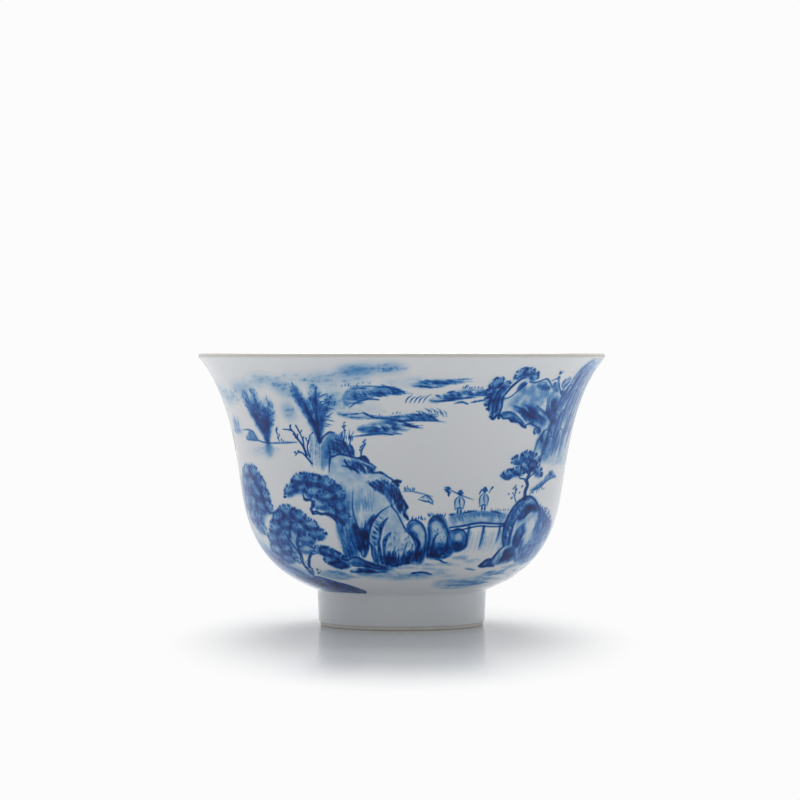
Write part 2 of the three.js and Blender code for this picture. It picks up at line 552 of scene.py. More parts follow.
def rippled(tree, spacing, height, detail=2.0, normal=None):
    """A bump of the given height in millimetres, over features of the given spacing."""
    relief = add_node(tree, "ShaderNodeTexNoise",
                      values={"Scale": per_metre(spacing), "Detail": detail},
                      links={"Vector": place_of(tree)})
    links = {"Height": relief.outputs["Fac"]}
    if normal is not None:
        links["Normal"] = normal
    return add_node(tree, "ShaderNodeBump", values={"Strength": 1.0, "Distance": height * MM},
                    links=links).outputs["Normal"]


def new_finish(name, roughness, ior, gloss=0.5):
    """A new material, with its node tree and its shader."""
    finish = bpy.data.materials.new(name)
    finish.use_nodes = True
    shader = finish.node_tree.nodes["Principled BSDF"]
    shader.inputs["Roughness"].default_value = roughness
    shader.inputs["IOR"].default_value = ior
    shader.inputs["Specular IOR Level"].default_value = gloss
    return finish, finish.node_tree, shader


def glaze_relief(tree):
    """Wide shallow waves under a fine orange-peel."""
    waves = rippled(tree, WAVE, WAVE_HEIGHT)
    return rippled(tree, PEEL, PEEL_HEIGHT, 1.0, waves)


def glazed_white(tree):
    """The white of the glazed clay, with its iron specks."""
    return speckled(tree, tinted(tree, "#f1f2f2", "#eaeced", TINT_DRIFT), "#8d8474")


glaze_finish, tree, shader = new_finish("clear_glaze_over_white_porcelain",
                                        GLAZE_ROUGHNESS, GLAZE_IOR, GLAZE_GLOSS)
tree.links.new(glazed_white(tree), shader.inputs["Base Color"])
tree.links.new(glaze_relief(tree), shader.inputs["Normal"])


# %% [markdown]
# Over the lip the same glaze drew thin in the kiln. The eye sees a fine, slightly
# warmer and drier line that edges the mouth.

# %% Thin glaze on the lip
lip_finish, tree, shader = new_finish("thin_glaze_drawn_over_the_lip", 0.16, GLAZE_IOR)
tree.links.new(tinted(tree, "#efebe4", "#e6e1d8", 5.0), shader.inputs["Base Color"])
tree.links.new(rippled(tree, 2.5, 0.004), shader.inputs["Normal"])


# %% [markdown]
# Bare porcelain fired without glaze is biscuit: smooth, stony and matt, a touch creamier,
# with the fine rings of the turning tool. Its real grain is about a tenth of a
# millimetre, and it is drawn a little coarser so that it shows. The clay under the glaze
# is the same without the rings.

# %% Biscuit
GRAIN = 0.35
TOOL_RINGS = 0.8
biscuit_finish, tree, shader = new_finish("wiped_biscuit_porcelain", 0.62, 1.5)
grain = rippled(tree, GRAIN, 0.012, 3.0)
rings = add_node(tree, "ShaderNodeTexWave", {"wave_type": "RINGS", "rings_direction": "Z"},
                 {"Scale": per_metre(TOOL_RINGS) / 20, "Distortion": 0.6, "Detail": 2.0},
                 {"Vector": place_of(tree)})
tooled = add_node(tree, "ShaderNodeBump", values={"Strength": 0.5, "Distance": 0.02 * MM},
                  links={"Height": rings.outputs["Fac"], "Normal": grain})
tree.links.new(speckled(tree, tinted(tree, "#ebe8e1", "#dedad0", 2.2), "#7a7264"),
               shader.inputs["Base Color"])
tree.links.new(tooled.outputs["Normal"], shader.inputs["Normal"])

fired_clay, tree, shader = new_finish("fired_white_clay_under_glaze", 0.7, 1.5)
tree.links.new(tinted(tree, "#efece5", "#e7e3da", 6.0), shader.inputs["Base Color"])
tree.links.new(rippled(tree, GRAIN, 0.01), shader.inputs["Normal"])


# %% [markdown]
# Each turned piece now takes its finish, and the measured node that it stands for is
# hidden.

# %% Dress the pieces
def dress(piece, finish, node):
    """Gives a piece its finish and hides the measured node that it stands for."""
    piece.data.materials.append(finish)
    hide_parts(node)


dress(clay_bowl, fired_clay, "porcelain_bowl")
dress(clay_foot, biscuit_finish, "foot_ring")
dress(outer_coat, glaze_finish, "outer_glaze")
dress(inner_coat, glaze_finish, "inner_glaze")
dress(lip_roll, lip_finish, "lip_glaze")
dress(foot_coat, glaze_finish, "foot_glaze")
dress(recess_coat, glaze_finish, "base_glaze")
print("materials:", ", ".join(m.name for m in bpy.data.materials if m.users))


# %% [markdown]
# ## The painting
#
# A landscape of rocks, pines and still water runs round the outside. It is painted the
# way a porcelain painter works: soft washes first, then the forms lifted out of them,
# then lines and dabs of thicker cobalt. It could be drawn with noise textures, but each
# rock and tree is placed one by one, so the cells below keep a sheet of numbers that
# wraps the cup, and give it brushes.
#
# A place on the sheet is (g, s). g is millimetres round the waist, from the front
# towards the right hand, and s is millimetres up the curve from the foot. A cell's
# value is how much cobalt lies there, from none to one.

# %% The sheet that wraps the cup
CELL = 0.14
FAINTEST = 0.012    # less cobalt than this can't be seen
GIRTH = 2 * pi * WAIST_RADIUS
columns = round(GIRTH / CELL)
rows = round(FACE_LENGTH / CELL)
cobalt = np.zeros((rows, columns))
hand = np.random.default_rng(11)


def cloudiness(size):
    """Soft noise from 0 to 1 with blobs of this size, which joins up round the cup."""
    speckle = np.fft.rfft2(hand.standard_normal((rows, columns)))
    up = np.fft.fftfreq(rows, CELL)[:, None]
    round_cup = np.fft.rfftfreq(columns, CELL)[None]
    soft = np.fft.irfft2(speckle * np.exp(-(up ** 2 + round_cup ** 2) * (2.2 * size) ** 2),
                         (rows, columns))
    return np.clip(0.5 + 0.25 * soft / soft.std(), 0, 1)


tooth = cloudiness(0.22)  # the tooth of the clay, which breaks a dry brush
mottle = cloudiness(0.8)  # how unevenly a wash sinks in
drift = cloudiness(2.4)  # how mist gathers
print(f"sheet of {columns} by {rows} cells, {GIRTH:.0f} by {FACE_LENGTH:.0f} mm")


# %% Geometry of the sheet
def narrowing(s):
    """How much less a step round the cup measures at height s than at the waist."""
    return float(np.interp(s, face_arc, outer_face[:, 0])) / WAIST_RADIUS


def moved(g, s, across, up):
    """The place that lies this many true millimetres away."""
    return (g + across / narrowing(s), s + up)


def cells_near(path, margin):
    """Index of the cells round a path, and their own g and s."""
    low = path.min(0) - margin
    high = path.max(0) + margin
    first_row = int(np.clip(low[1] / CELL, 0, rows - 1))
    last_row = int(np.clip(high[1] / CELL + 2, first_row + 1, rows))
    row = np.arange(first_row, last_row)
    column = np.arange(int(np.floor(low[0] / CELL)), int(high[0] / CELL) + 2)
    g, s = np.meshgrid((column + 0.5) * CELL, (row + 0.5) * CELL)
    return np.ix_(row, column % columns), g, s


def through(points, step=0.3, closed=False):
    """A smooth path through a few points."""
    points = np.array(points, float)
    if closed:
        around = np.vstack([points[-1], points, points[:2]])
    else:
        around = np.vstack([2 * points[0] - points[1], points, 2 * points[-1] - points[-2]])
    path = []
    for before, start, end, after in zip(around, around[1:], around[2:], around[3:]):
        count = max(1, ceil(hypot(*(end - start)) / step))
        t = np.arange(count)[:, None] / count
        path.append(0.5 * (2 * start + (end - before) * t
                           + (2 * before - 5 * start + 4 * end - after) * t ** 2
                           + (3 * start - before - 3 * end + after) * t ** 3))
    if not closed:
        path.append(points[-1:])
    return np.vstack(path)


def oval(g, s, wide, tall, turn=0):
    """Outline of an oval with these half sizes, turned by some degrees."""
    c = cos(radians(turn))
    k = sin(radians(turn))
    spots = [(cos(a), sin(a)) for a in np.linspace(0, 2 * pi, 10, endpoint=False)]
    return [moved(g, s, wide * x * c - tall * y * k, wide * x * k + tall * y * c)
            for x, y in spots]


# %% Washes and lifting out
def soften(shape, size):
    """Blurs a shape by this many millimetres."""
    reach = max(1, round(size / CELL / 2))
    for axis in (0, 1, 0, 1):
        margin = [(0, 0), (0, 0)]
        margin[axis] = (reach + 1, reach)
        total = np.cumsum(np.pad(shape, margin, mode="edge"), axis)
        span = 2 * reach + 1
        ahead = total[span:] if axis == 0 else total[:, span:]
        behind = total[:-span] if axis == 0 else total[:, :-span]
        shape = (ahead - behind) / span
    return shape


def inside(path, g, s):
    """1 where a cell lies inside a closed path."""
    within = np.zeros(g.shape, bool)
    for (g0, s0), (g1, s1) in zip(path, np.roll(path, -1, 0)):
        if s0 == s1:
            continue
        crosses = (s0 > s) != (s1 > s)
        within ^= crosses & (g < (g1 - g0) * (s - s0) / (s1 - s0) + g0)
    return within.astype(float)


def lay(cells, amount):
    """Adds cobalt: each coat covers a share of what is still bare."""
    cobalt[cells] += (1 - cobalt[cells]) * np.clip(amount, 0, 1)


def wash(outline, load, soft=0.5, uneven=0.3, cloud=None):
    """Fills an outline with thinned cobalt."""
    path = through(outline, 0.4, closed=True)
    cells, g, s = cells_near(path, 2 * soft)
    cloud = mottle if cloud is None else cloud
    pooled = 0.8 * cloud[cells] + 0.2 * tooth[cells]
    sunk = 1 + uneven * (2 * pooled - 1) * 1.4
    lay(cells, soften(inside(path, g, s), soft) * load * sunk)


def lift(outline, keep=0.0, soft=0.12):
    """Wipes an outline clean, or nearly, so that a nearer form stands out."""
    path = through(outline, 0.4, closed=True)
    cells, g, s = cells_near(path, 2 * soft)
    cobalt[cells] *= 1 - soften(inside(path, g, s), soft) * (1 - keep)


# %% Strokes
def stroke(points, width=0.35, load=0.85, press=(0.4, 1, 0.2), soft=0.14, dry=0.0):
    """One pull of the brush; press is how wide it opens along the way."""
    path = through(points, max(0.12, 0.35 * width))
    along = np.linspace(0, 1, len(path))
    half = width / 2 * np.interp(along, np.linspace(0, 1, len(press)), press)
    cells, g, s = cells_near(path, width / 2 + soft)
    squeeze = narrowing(path[:, 1].mean())
    gap = np.full(g.shape, 9.0)
    for (g0, s0), r in zip(path, half):
        gap = np.minimum(gap, np.hypot((g - g0) * squeeze, s - s0) - r)
    cover = np.clip(0.5 - gap / (2 * soft), 0, 1)
    cover = cover * cover * (3 - 2 * cover)
    if dry:
        cover = cover * np.clip(1 - 2.2 * dry * (tooth[cells] - 0.25), 0, 1)
    lay(cells, cover * load)


def strokes(paths, *brush, **more):
    """Several pulls of one brush."""
    for points in paths:
        stroke(points, *brush, **more)


def between(low, high):
    """A random choice between two values."""
    return hand.uniform(low, high)


def flick(g, s, angle, length, width=0.2, load=0.8, bend=0.0, soft=0.1):
    """A short curved touch that leaves (g, s) at an angle in degrees."""
    c = cos(radians(angle)) * length
    k = sin(radians(angle)) * length
    middle = moved(g, s, c / 2 - k * bend, k / 2 + c * bend)
    stroke([(g, s), middle, moved(g, s, c, k)], width, load, soft=soft)


def spots_in(outline, count):
    """Places scattered inside an outline."""
    path = through(outline, 0.5, closed=True)
    spots = hand.uniform(path.min(0), path.max(0), (3 * count, 2))
    kept = inside(path, spots[:, 0][None], spots[:, 1][None])[0] > 0
    return spots[kept][:count]


def mist(g, s, wide, tall, load, turn=0):
    """A soft cloud, with a few dry pulls of the brush left in it."""
    cloud = oval(g, s, wide, tall, turn)
    wash(cloud, 0.66 * load, 1.7, 0.45, drift)
    for g0, s0 in spots_in(cloud, round(2.2 * wide * tall)):
        end = moved(g0, s0, between(0.6, 2), between(-0.1, 0.5))
        stroke([(g0, s0), end], 0.5, 0.75 * load, soft=0.28, dry=0.8)


def texture(first, last, count, width=0.24, load=0.7, dry=0.3, reach=(0.25, 0.6)):
    """Dry strokes that run from one line towards another, as on the face of a rock."""
    line_a = through(first, 0.25)
    line_b = through(last, 0.25)
    for _ in range(count):
        t = between(0, 1)
        a = line_a[int(t * (len(line_a) - 1))]
        b = line_b[int(t * (len(line_b) - 1))]
        start = between(0, 0.6)
        end = min(1, start + between(*reach))
        shift = hand.normal(0, 0.08, 2)
        stroke([a + (b - a) * u + shift for u in (start, (start + end) / 2, end)],
               width * between(0.6, 1.2), load * between(0.45, 1), (0.5, 1, 0.3), 0.1, dry)


def tuft(g0, g1, s, count, tall=0.8, load=0.8, width=0.2, lean=82, spread=18, bend=0.0):
    """A row of grass between g0 and g1."""
    for g in np.linspace(g0, g1, count):
        flick(g + between(-0.1, 0.1), s + between(-0.1, 0.1), lean + between(-spread, spread),
              tall * between(0.5, 1.1), width, load * between(0.6, 1), bend)


# %% [markdown]
# The far things come first and stay faint: mist under the lip, spits of sand with
# grass on them, and a low shore. Each spit is a pale body with long level streaks and
# one broken dark line where it meets the water.

# %% Mist and sand spits
for cloud in [(-5, 51.3, 7, 0.9, 0.3, 3), (-9, 50.3, 6, 0.9, 0.2, 8), (-3, 51.2, 4, 0.5, 0.22, 4),
              (-14, 49, 4, 1.4, 0.2), (-24.5, 48.8, 4, 0.9, 0.26, -8), (-21.3, 47, 3, 1.4, 0.32, -20),
              (-19, 49, 3, 1, 0.16), (-36, 45.5, 7, 1.3, 0.18, 10), (-44, 46, 6, 1.5, 0.14),
              (-31, 47.5, 6, 1.4, 0.1, 5), (-21.2, 42.4, 1.6, 1.8, 0.26), (-11.4, 45.5, 1.8, 3, 0.2),
              (-28.5, 34.3, 1, 1.3, 0.2), (-31, 34.5, 6, 0.8, 0.12), (2, 48.4, 7, 0.8, 0.12),
              (-8, 48.6, 3, 1, 0.14), (-7, 43, 4, 1, 0.1)]:
    mist(*cloud)


def spit(outline, load, waterline, streaks=14, shade=None):
    """A flat spit of sand; shade is the two lines and the count of its dry strokes."""
    wash(outline, 0.85 * load, 0.4, 0.5)
    for g, s in spots_in(outline, 2 * streaks):
        stroke([(g, s), moved(g, s, between(0.8, 2.8), between(-0.25, 0.1))], between(0.12, 0.24),
               between(0.35, 0.8), (0.2, 1, 0.3), 0.12, 0.2)
    for g, s in spots_in(outline, streaks // 2):
        lift(oval(g, s, between(0.6, 1.3), 0.13, -4), 0.35, 0.16)
    if shade:
        texture(*shade, 0.26, 0.75)
    strokes(waterline, 0.38, 0.8, (0.25, 1, 0.9, 0.6), 0.14, 0.3)


spit([(-10, 45.5), (-8, 47.4), (-3, 47.5), (0.5, 46.1), (-3, 45.7), (-5.5, 45.2), (-8, 44.3),
      (-9.8, 43.4)], 0.38,
     [[(-9.2, 43.1), (-7.8, 44.2), (-5.8, 44.9), (-3.9, 44.8)],
      [(-3.3, 47.9), (-2, 47.2), (-0.3, 46.8), (0.5, 46)]], 30,
     ([(-9, 46.4), (-4.5, 47), (-0.8, 46.9)], [(-7.5, 44.5), (-1.8, 45.6), (0.5, 46)], 44))
spit([(1.2, 47.6), (4, 48.8), (10, 49), (9, 48.2), (6, 47.6), (4.5, 47.2), (2.5, 47.3)], 0.26,
     [[(2.3, 47.6), (3.6, 47.5), (5, 47.3)], [(5, 48.1), (6.2, 48.1), (7.6, 48)]], 14,
     ([(2, 48.7), (6, 49)], [(4.5, 47.8), (9.5, 48.4)], 16))
spit([(4.6, 44.8), (7.5, 46.1), (10.5, 46.9), (13.8, 47), (14.3, 45.6), (10, 45), (7, 44.5),
      (5.3, 44.2)], 0.34,
     [[(4.8, 44.6), (6.5, 44.5), (9, 44.9), (12, 45.2)], [(9, 44), (10.4, 44.3), (11.5, 43.9)],
      [(12, 44.2), (13, 44.4), (14.6, 44.7)], [(7.6, 46.2), (8.8, 46.5)]], 24,
     ([(5, 45.6), (9, 46.4), (13, 46.8)], [(7, 44.6), (14, 45.8)], 34))
spit([(-11.5, 42.2), (-8, 42), (-5.2, 41.6), (-5, 41.1), (-8, 41), (-10.5, 41.3)], 0.24,
     [[(-6.9, 42.3), (-6, 41.8), (-5.2, 41.4)]], 10)
spit([(-4, 41.2), (0, 41.8), (3, 42.2), (5.2, 41.8), (6.4, 40.6), (3, 40.7), (0, 40.6), (-2, 40.9)],
     0.36,
     [[(-5, 41), (-2, 40.9), (0, 40.6), (3, 40.7), (6.3, 40.6)],
      [(4.2, 41.9), (5.2, 41.4), (6.3, 40.6)]], 20,
     ([(0, 41.9), (5.2, 42.2)], [(2, 40.7), (6.3, 40.6)], 26))
spit([(-8, 39.2), (-5, 40.4), (-1.5, 40.6), (3, 39.3), (0, 39.4), (-1.5, 38.1), (-4, 38), (-7, 38.2)],
     0.38,
     [[(-9, 37.5), (-6, 37.9), (-3.5, 38.1), (-1.6, 37.9)],
      [(-2, 40.7), (0, 40.4), (1.5, 39.7), (2.9, 39.3)], [(0, 39.8), (1.5, 39.6), (2.9, 39.3)]], 24,
     ([(-6, 39.8), (-1, 40.3)], [(-4.5, 38), (-0.3, 38.9)], 34))

for g in np.linspace(0.6, 3.6, 5):
    flick(g, 44.2, between(44, 52), between(1.6, 2.4), 0.24, between(0.6, 0.9), 0.12)
for g in np.linspace(2.4, 7.0, 10):
    flick(g + 0.9, 41.5 + between(-0.2, 0.3), between(118, 150), between(1.2, 2), 0.2,
          between(0.5, 0.85), -0.2)
for row in [(-10, -7.4, 47.4, 6, 0.7, 0.85), (-7.2, -5.3, 48.1, 3, 0.3, 0.6),
            (10.2, 11.3, 47, 5, 0.8, 0.85), (11.7, 13.6, 47.1, 4, 0.4, 0.8),
            (-4.2, -3.4, 41.2, 3, 0.9, 0.7), (-1.5, -0.4, 42, 3, 0.4, 0.85)]:
    tuft(*row)


# %% [markdown]
# Two kinds of tree grow here. The far ones are feathery: lobes of pale wash that lean
# apart, filled with short dabs that fan out from the root. The near ones are pines: flat
# pads of needles, each a soft body under a crust of little fans.

# %% How trees are painted
def feathery_tree(foot, lobes, load=0.8):
    """Lobes are ovals (g, s, half width, half height, turn) over one foot (g, s)."""
    foot_g, foot_s = foot
    for g, s, wide, tall, turn in lobes:
        wash(oval(g, s, wide, tall, turn), 0.4 * load, 0.8, 0.5)
        wash([(foot_g - 0.5, foot_s), (foot_g + 0.5, foot_s), moved(g, s, 0.6 * wide, 0),
              moved(g, s, -0.6 * wide, 0)], 0.3 * load, 0.6, 0.5)
        for x, y in spots_in(oval(g, s, 1.08 * wide, 1.04 * tall, turn), int(13 * wide * tall)):
            away = degrees(atan2(y - foot_s, x - foot_g)) + between(-38, 38)
            flick(x, y, away, between(0.35, 0.8), between(0.18, 0.34), load * between(0.3, 0.75))
        stroke([foot, ((foot_g + g) / 2, (foot_s + s) / 2), (g, s + 0.4 * tall)], 0.4, 0.6 * load,
               (1, 0.7, 0.2), 0.2, 0.6)


def pine_pad(g, s, wide, tall, turn=0, dark=0.85):
    """A pad of needles: body, shaded underside, inner dabs and a fringe of fans."""
    c = cos(radians(turn))
    k = sin(radians(turn))

    def on_pad(angle, share):
        x = wide * share * cos(angle)
        y = tall * share * sin(angle)
        return moved(g, s, x * c - y * k, x * k + y * c)

    wash(oval(g, s, wide, tall, turn), 0.44 * dark, 0.5)
    lift(oval(*on_pad(pi / 2, 0.3), 0.72 * wide, 0.5 * tall, turn), 0.6, 0.6)
    wash(oval(*on_pad(-pi / 2, 0.5), 0.85 * wide, 0.4 * tall, turn), 0.4 * dark, 0.35)
    for _ in range(int(6.5 * wide * tall)):
        angle = between(0, 2 * pi)
        share = between(0.05, 1) ** 0.5
        x, y = on_pad(angle, share)
        fan = degrees(angle) * 0.55 + 40 + turn + between(-30, 30)
        for spread in (-22, 22):
            flick(x, y, fan + spread, between(0.3, 0.6), between(0.14, 0.22),
                  dark * between(0.4, 0.85) * (1.1 - 0.3 * sin(angle)))
    for _ in range(int(5 * (wide + tall))):
        angle = radians(between(-20, 200))
        x, y = on_pad(angle, between(0.84, 1.02))
        for spread in (-30, 0, 30):
            flick(x, y, degrees(angle) * 0.7 + 27 + turn + spread + between(-8, 8), between(0.35, 0.6),
                  0.16, dark * between(0.6, 0.95))


def bough(points, width=0.7, load=0.8):
    """A gnarled bough: a grey core between two broken dark edges."""
    stroke(points, width, 0.5 * load, (1, 0.8, 0.5), 0.16)
    path = through(points, 0.9)
    side = np.column_stack([-np.gradient(path[:, 1]), np.gradient(path[:, 0])])
    side /= np.hypot(*side.T)[:, None]
    thin = 0.42 * width * np.linspace(1, 0.45, len(path))[:, None]
    stroke(path + side * thin, 0.24, load, (1, 0.8, 0.9, 0.4), 0.11, 0.3)
    stroke(path - side * thin, 0.28, load, (1, 0.9, 0.7, 0.5), 0.11, 0.3)


def twig(points, width=0.25, load=0.85, buds=0.0, forks=0, length=1.5, lean=90):
    """A bare twig with side shoots that may end in buds."""
    stroke(points, width, load, (1, 0.7, 0.35), 0.11)
    path = through(points, 0.3)
    for _ in range(forks):
        g, s = path[int(len(path) * between(0.3, 0.98))]
        angle = radians(lean + between(-45, 45))
        reach = length * between(0.5, 1)
        tip = moved(g, s, reach * cos(angle), reach * sin(angle))
        stroke([(g, s), tip], 0.7 * width, 0.9 * load, (0.8, 0.6), 0.1)
        if buds:
            stroke([tip, moved(*tip, 0.1, 0.05)], buds, load, (1, 1), 0.1)


# %% The far shore and its trees
wash([(-36, 36.6), (-34, 38.2), (-32.2, 38), (-31.5, 36.6)], 0.38, 0.4)
strokes([[(-37, 38.4), (-34.5, 38.5), (-32.4, 38.1), (-31.7, 36.8), (-30, 36.2), (-27, 36)],
         [(-28, 36), (-24, 36.1), (-20.5, 36.3)], [(-35.8, 36.6), (-33.5, 36.5), (-31, 36.4)]], 0.24,
        0.75, (0.3, 1, 0.8, 1, 0.4))
feathery_tree((-28.3, 36.3),
              [(-31.4, 43.2, 1.5, 3.1, 16), (-29, 44, 1.2, 3, 4), (-26.4, 42, 1.6, 3, -14),
               (-30, 40.6, 1.4, 2.6, 20), (-27.6, 40, 1.5, 2.8, -8), (-28.8, 41.2, 2.3, 2.6, 0)], 0.66)
for height in np.linspace(36.3, 38.8, 14):
    reach = 1.1 * (1 - (height - 36.3) / 3)
    flick(-25 + between(-reach, reach), height, between(50, 130), 0.5, 0.28, between(0.45, 0.85))
tuft(-24.2, -22.8, 36.2, 4, 0.45, 0.7)
wash(oval(-28.3, 34.9, 1.2, 1.1), 0.24, 0.8)
for g in (-41.5, -40.5, -39.6, -38.8):
    flick(g, 38.2, between(65, 108), between(2.2, 3.6), 0.5, 0.34)
    mist(g, 39.4, 0.9, 1, 0.16)
wash(oval(-40.5, 38.2, 3.4, 0.5), 0.26, 0.6)

feathery_tree((-15.7, 37.2),
              [(-18.6, 45.4, 1.1, 2.6, 20), (-15.2, 45.2, 1.2, 2.8, 0), (-12.9, 44, 1.1, 2, -20),
               (-17.2, 42.4, 1.2, 2.6, 16), (-15.4, 41, 1.2, 3, -4), (-15.8, 42.4, 1.9, 2.8, 0)], 0.64)
for height in np.linspace(39.6, 45.6, 16):
    flick(between(-14.6, -13.4), height, between(-20, 40), between(0.8, 1.9), 0.2, between(0.4, 0.8))
strokes([[(-15.7, 36.5), (-16.2, 40), (-17.4, 43), (-18.6, 46.8)],
         [(-15.4, 36.5), (-15.6, 40), (-15.3, 44), (-14.8, 47)]], 0.62, 0.72, (1, 0.8, 0.5, 0.2), 0.2,
        0.35)
SHORE_TWIGS = [([(-17.6, 32.2), (-18.6, 33.3), (-19.6, 34.2), (-20.6, 34.3), (-21.3, 33.7)],
                0.4, 0.3, 3, 0.9, 120),
               ([(-18.6, 33.8), (-19.3, 35.6), (-20.3, 37), (-21.3, 38.5), (-23.4, 38.8)],
                0.5, 0.26, 5, 1.2, 105),
               ([(-19, 35), (-19.2, 37), (-20.1, 39.3)], 0.35, 0.24, 5, 1, 80),
               ([(-18, 33.5), (-18.3, 35.4), (-17.5, 37.6)], 0.35, 0.24, 4, 1, 70)]
for path, width, buds, forks, length, lean in SHORE_TWIGS:
    twig(path, width, 0.85, buds, forks, length, lean)


# %% [markdown]
# The great rock steps down from the trees to the water. Every shelf is lifted out of
# what lies behind it, so it comes forward, then shaded with dry strokes that run the
# way the stone falls, and edged with a line that swells and thins.

# %% How rocks are painted
def edge(points, width=0.42, load=0.9, press=(0.3, 1, 0.7, 1, 0.5), dry=0.2):
    """The dark contour of a rock."""
    stroke(points, width, load, press, 0.13, dry)


def form(outline, tone, soft=0.3, keep=0.0):
    """Clears a form and gives it its own pale tone."""
    lift(outline, keep)
    wash(outline, tone, soft, 0.5)


def stone(outline, lit, root, crest, count=26):
    """A boulder: a shaded cap, a lit face and a dark wet root."""
    form(outline, 0.46)
    lift(lit, 0.12, 0.3)
    wash(lit, 0.1, 0.3)
    wash(root, 0.6, 0.45, 0.7)
    texture(root[:2], root[-1:-3:-1], count, 0.26)
    edge(crest, 0.4, 0.9, (0.4, 0.9, 0.7, 1, 0.6))


# %% The knoll and the shelves
for g in np.linspace(-17.9, -15.2, 8):
    stroke([(g, between(31.2, 32)), (g + 0.15, 34.5), (g + 0.5, between(36.4, 37.6))], 0.3,
           between(0.25, 0.6), (0.2, 0.8, 0.6), 0.18, 0.3)
form([(-15.6, 31), (-15.4, 35), (-14.6, 37), (-13, 38.2), (-11.5, 37.6), (-10, 36.2), (-9, 34.6),
      (-9, 33.4), (-12, 33), (-14, 32)], 0.34)
texture([(-14.3, 36), (-11.5, 37.4), (-9.2, 35)], [(-13.7, 33), (-11.5, 33.8), (-9.3, 33.4)], 60, 0.3,
        0.75)
strokes([[(-13.2, 36.6), (-11.6, 35.9), (-10.6, 34.6)], [(-12.4, 37), (-10.6, 36.2), (-9.7, 34.4)],
         [(-13.6, 35.2), (-12.2, 34.9), (-11.2, 33.9)]], 0.42, 0.85, (0.3, 1, 0.7), 0.14, 0.2)
edge([(-15.6, 36), (-14.8, 37.3), (-13.4, 38.3), (-12.4, 38.2)])
edge([(-9.7, 36), (-9.1, 35.2), (-9, 34)], 0.5)
tuft(-12.2, -9, 36.8, 9, 1.9, 0.75, 0.22, 78, 22, 0.1)
twig([(-10.8, 36.4), (-10.4, 38.2), (-10.6, 39.6)], 0.24, 0.75, 0.2, 5, 0.8)
twig([(-9.6, 36), (-9.2, 37.6), (-8.7, 38.5)], 0.24, 0.75, 0.22, 4, 0.7, 80)

form([(-14.2, 29), (-13.9, 33.4), (-11.8, 34.1), (-9, 33.4), (-6.6, 32.4), (-4.9, 31.4), (-5, 30.2),
      (-7, 29.8), (-10, 29.3), (-12, 28)], 0.16)
texture([(-11.3, 33.2), (-8, 33), (-5, 31.6)], [(-9.5, 30.8), (-7, 30), (-5, 30.3)], 75, 0.28, 0.8)
strokes([[(-11.4, 31.9), (-9.8, 31.6), (-8.6, 31), (-8, 30.2)],
         [(-8.8, 32.6), (-7.4, 31.6), (-6.6, 30.3)], [(-7.4, 32.4), (-6, 31.4), (-5.4, 30.5)]], 0.5,
        0.88, (0.3, 1, 0.6), 0.15, 0.15)
edge([(-14.1, 30.6), (-13.9, 32.2), (-13.6, 33.5), (-12.9, 33.7)], 0.42, 0.85, (0.2, 0.7, 1.2, 0.8))
edge([(-13.5, 33.4), (-11.6, 34.1), (-9.4, 33.6), (-7.8, 33.2), (-6, 32.4), (-4.8, 31.6)])
stroke([(-8, 33.4), (-7, 33.5), (-6.2, 32.8)], 0.8, 0.92, (0.4, 1, 0.5))
twig([(-7.6, 33.6), (-7.4, 34.8), (-6.6, 36.2)], 0.3, 0.85, 0.22, 5, 0.9, 80)
edge([(-5.2, 30.5), (-4, 30.6), (-2.9, 30)], 0.55, 0.92, (0.5, 1, 0.7))

form([(-12.5, 29.5), (-10, 30.2), (-5.2, 30.4), (-3, 30), (-1.4, 28.9), (-0.4, 27), (0.3, 25),
      (1, 23.4), (1.1, 21.5), (-1, 21), (-3, 24), (-6, 21), (-8, 19), (-9.8, 15), (-12, 14),
      (-13.4, 18), (-13.6, 24)], 0.12, 0.35)
texture([(-6.8, 29.2), (-4, 29.6), (-1, 28.3), (0.6, 25)],
        [(-4.6, 26.6), (-2.8, 26.2), (-1.3, 24.4), (-0.1, 22)], 120, 0.26, 0.75)
strokes([[(-6.6, 28.8), (-4.6, 27.6), (-2.9, 26.2), (-1.9, 24.4)],
         [(-4.4, 28.9), (-2.6, 27.4), (-1.3, 25.4), (-0.6, 23.4)],
         [(-2.6, 28.9), (-1.2, 27.4), (-0.2, 25), (0.4, 22.8)]], 0.75, 0.72, (0.2, 1, 0.8, 0.6), 0.3,
        0.4)
strokes([[(-5.6, 28.9), (-4.6, 28.1)], [(-6.2, 28.4), (-5.2, 27.6)], [(-4.8, 29.2), (-3.4, 28.1)],
         [(-3.4, 29.2), (-2.4, 28)]], 0.34, 0.88, (0.6, 1, 0.3), 0.13)
edge([(-3, 30), (-1.7, 29.2), (-0.7, 27.6), (-0.1, 26), (0.8, 24.2), (0.6, 22.8), (1.2, 21.6)], 0.42,
     0.92, (0.5, 0.7, 0.5, 0.9, 1.3, 0.7, 1))
strokes([[(-1.7, 28.9), (-0.9, 29), (-0.3, 28.9)], [(-1.2, 28.9), (-0.7, 28.2)],
         [(0.7, 24.5), (1, 23.9)], [(0.4, 22.6), (1, 22)]], 0.68, 0.92, (0.6, 1, 0.8))

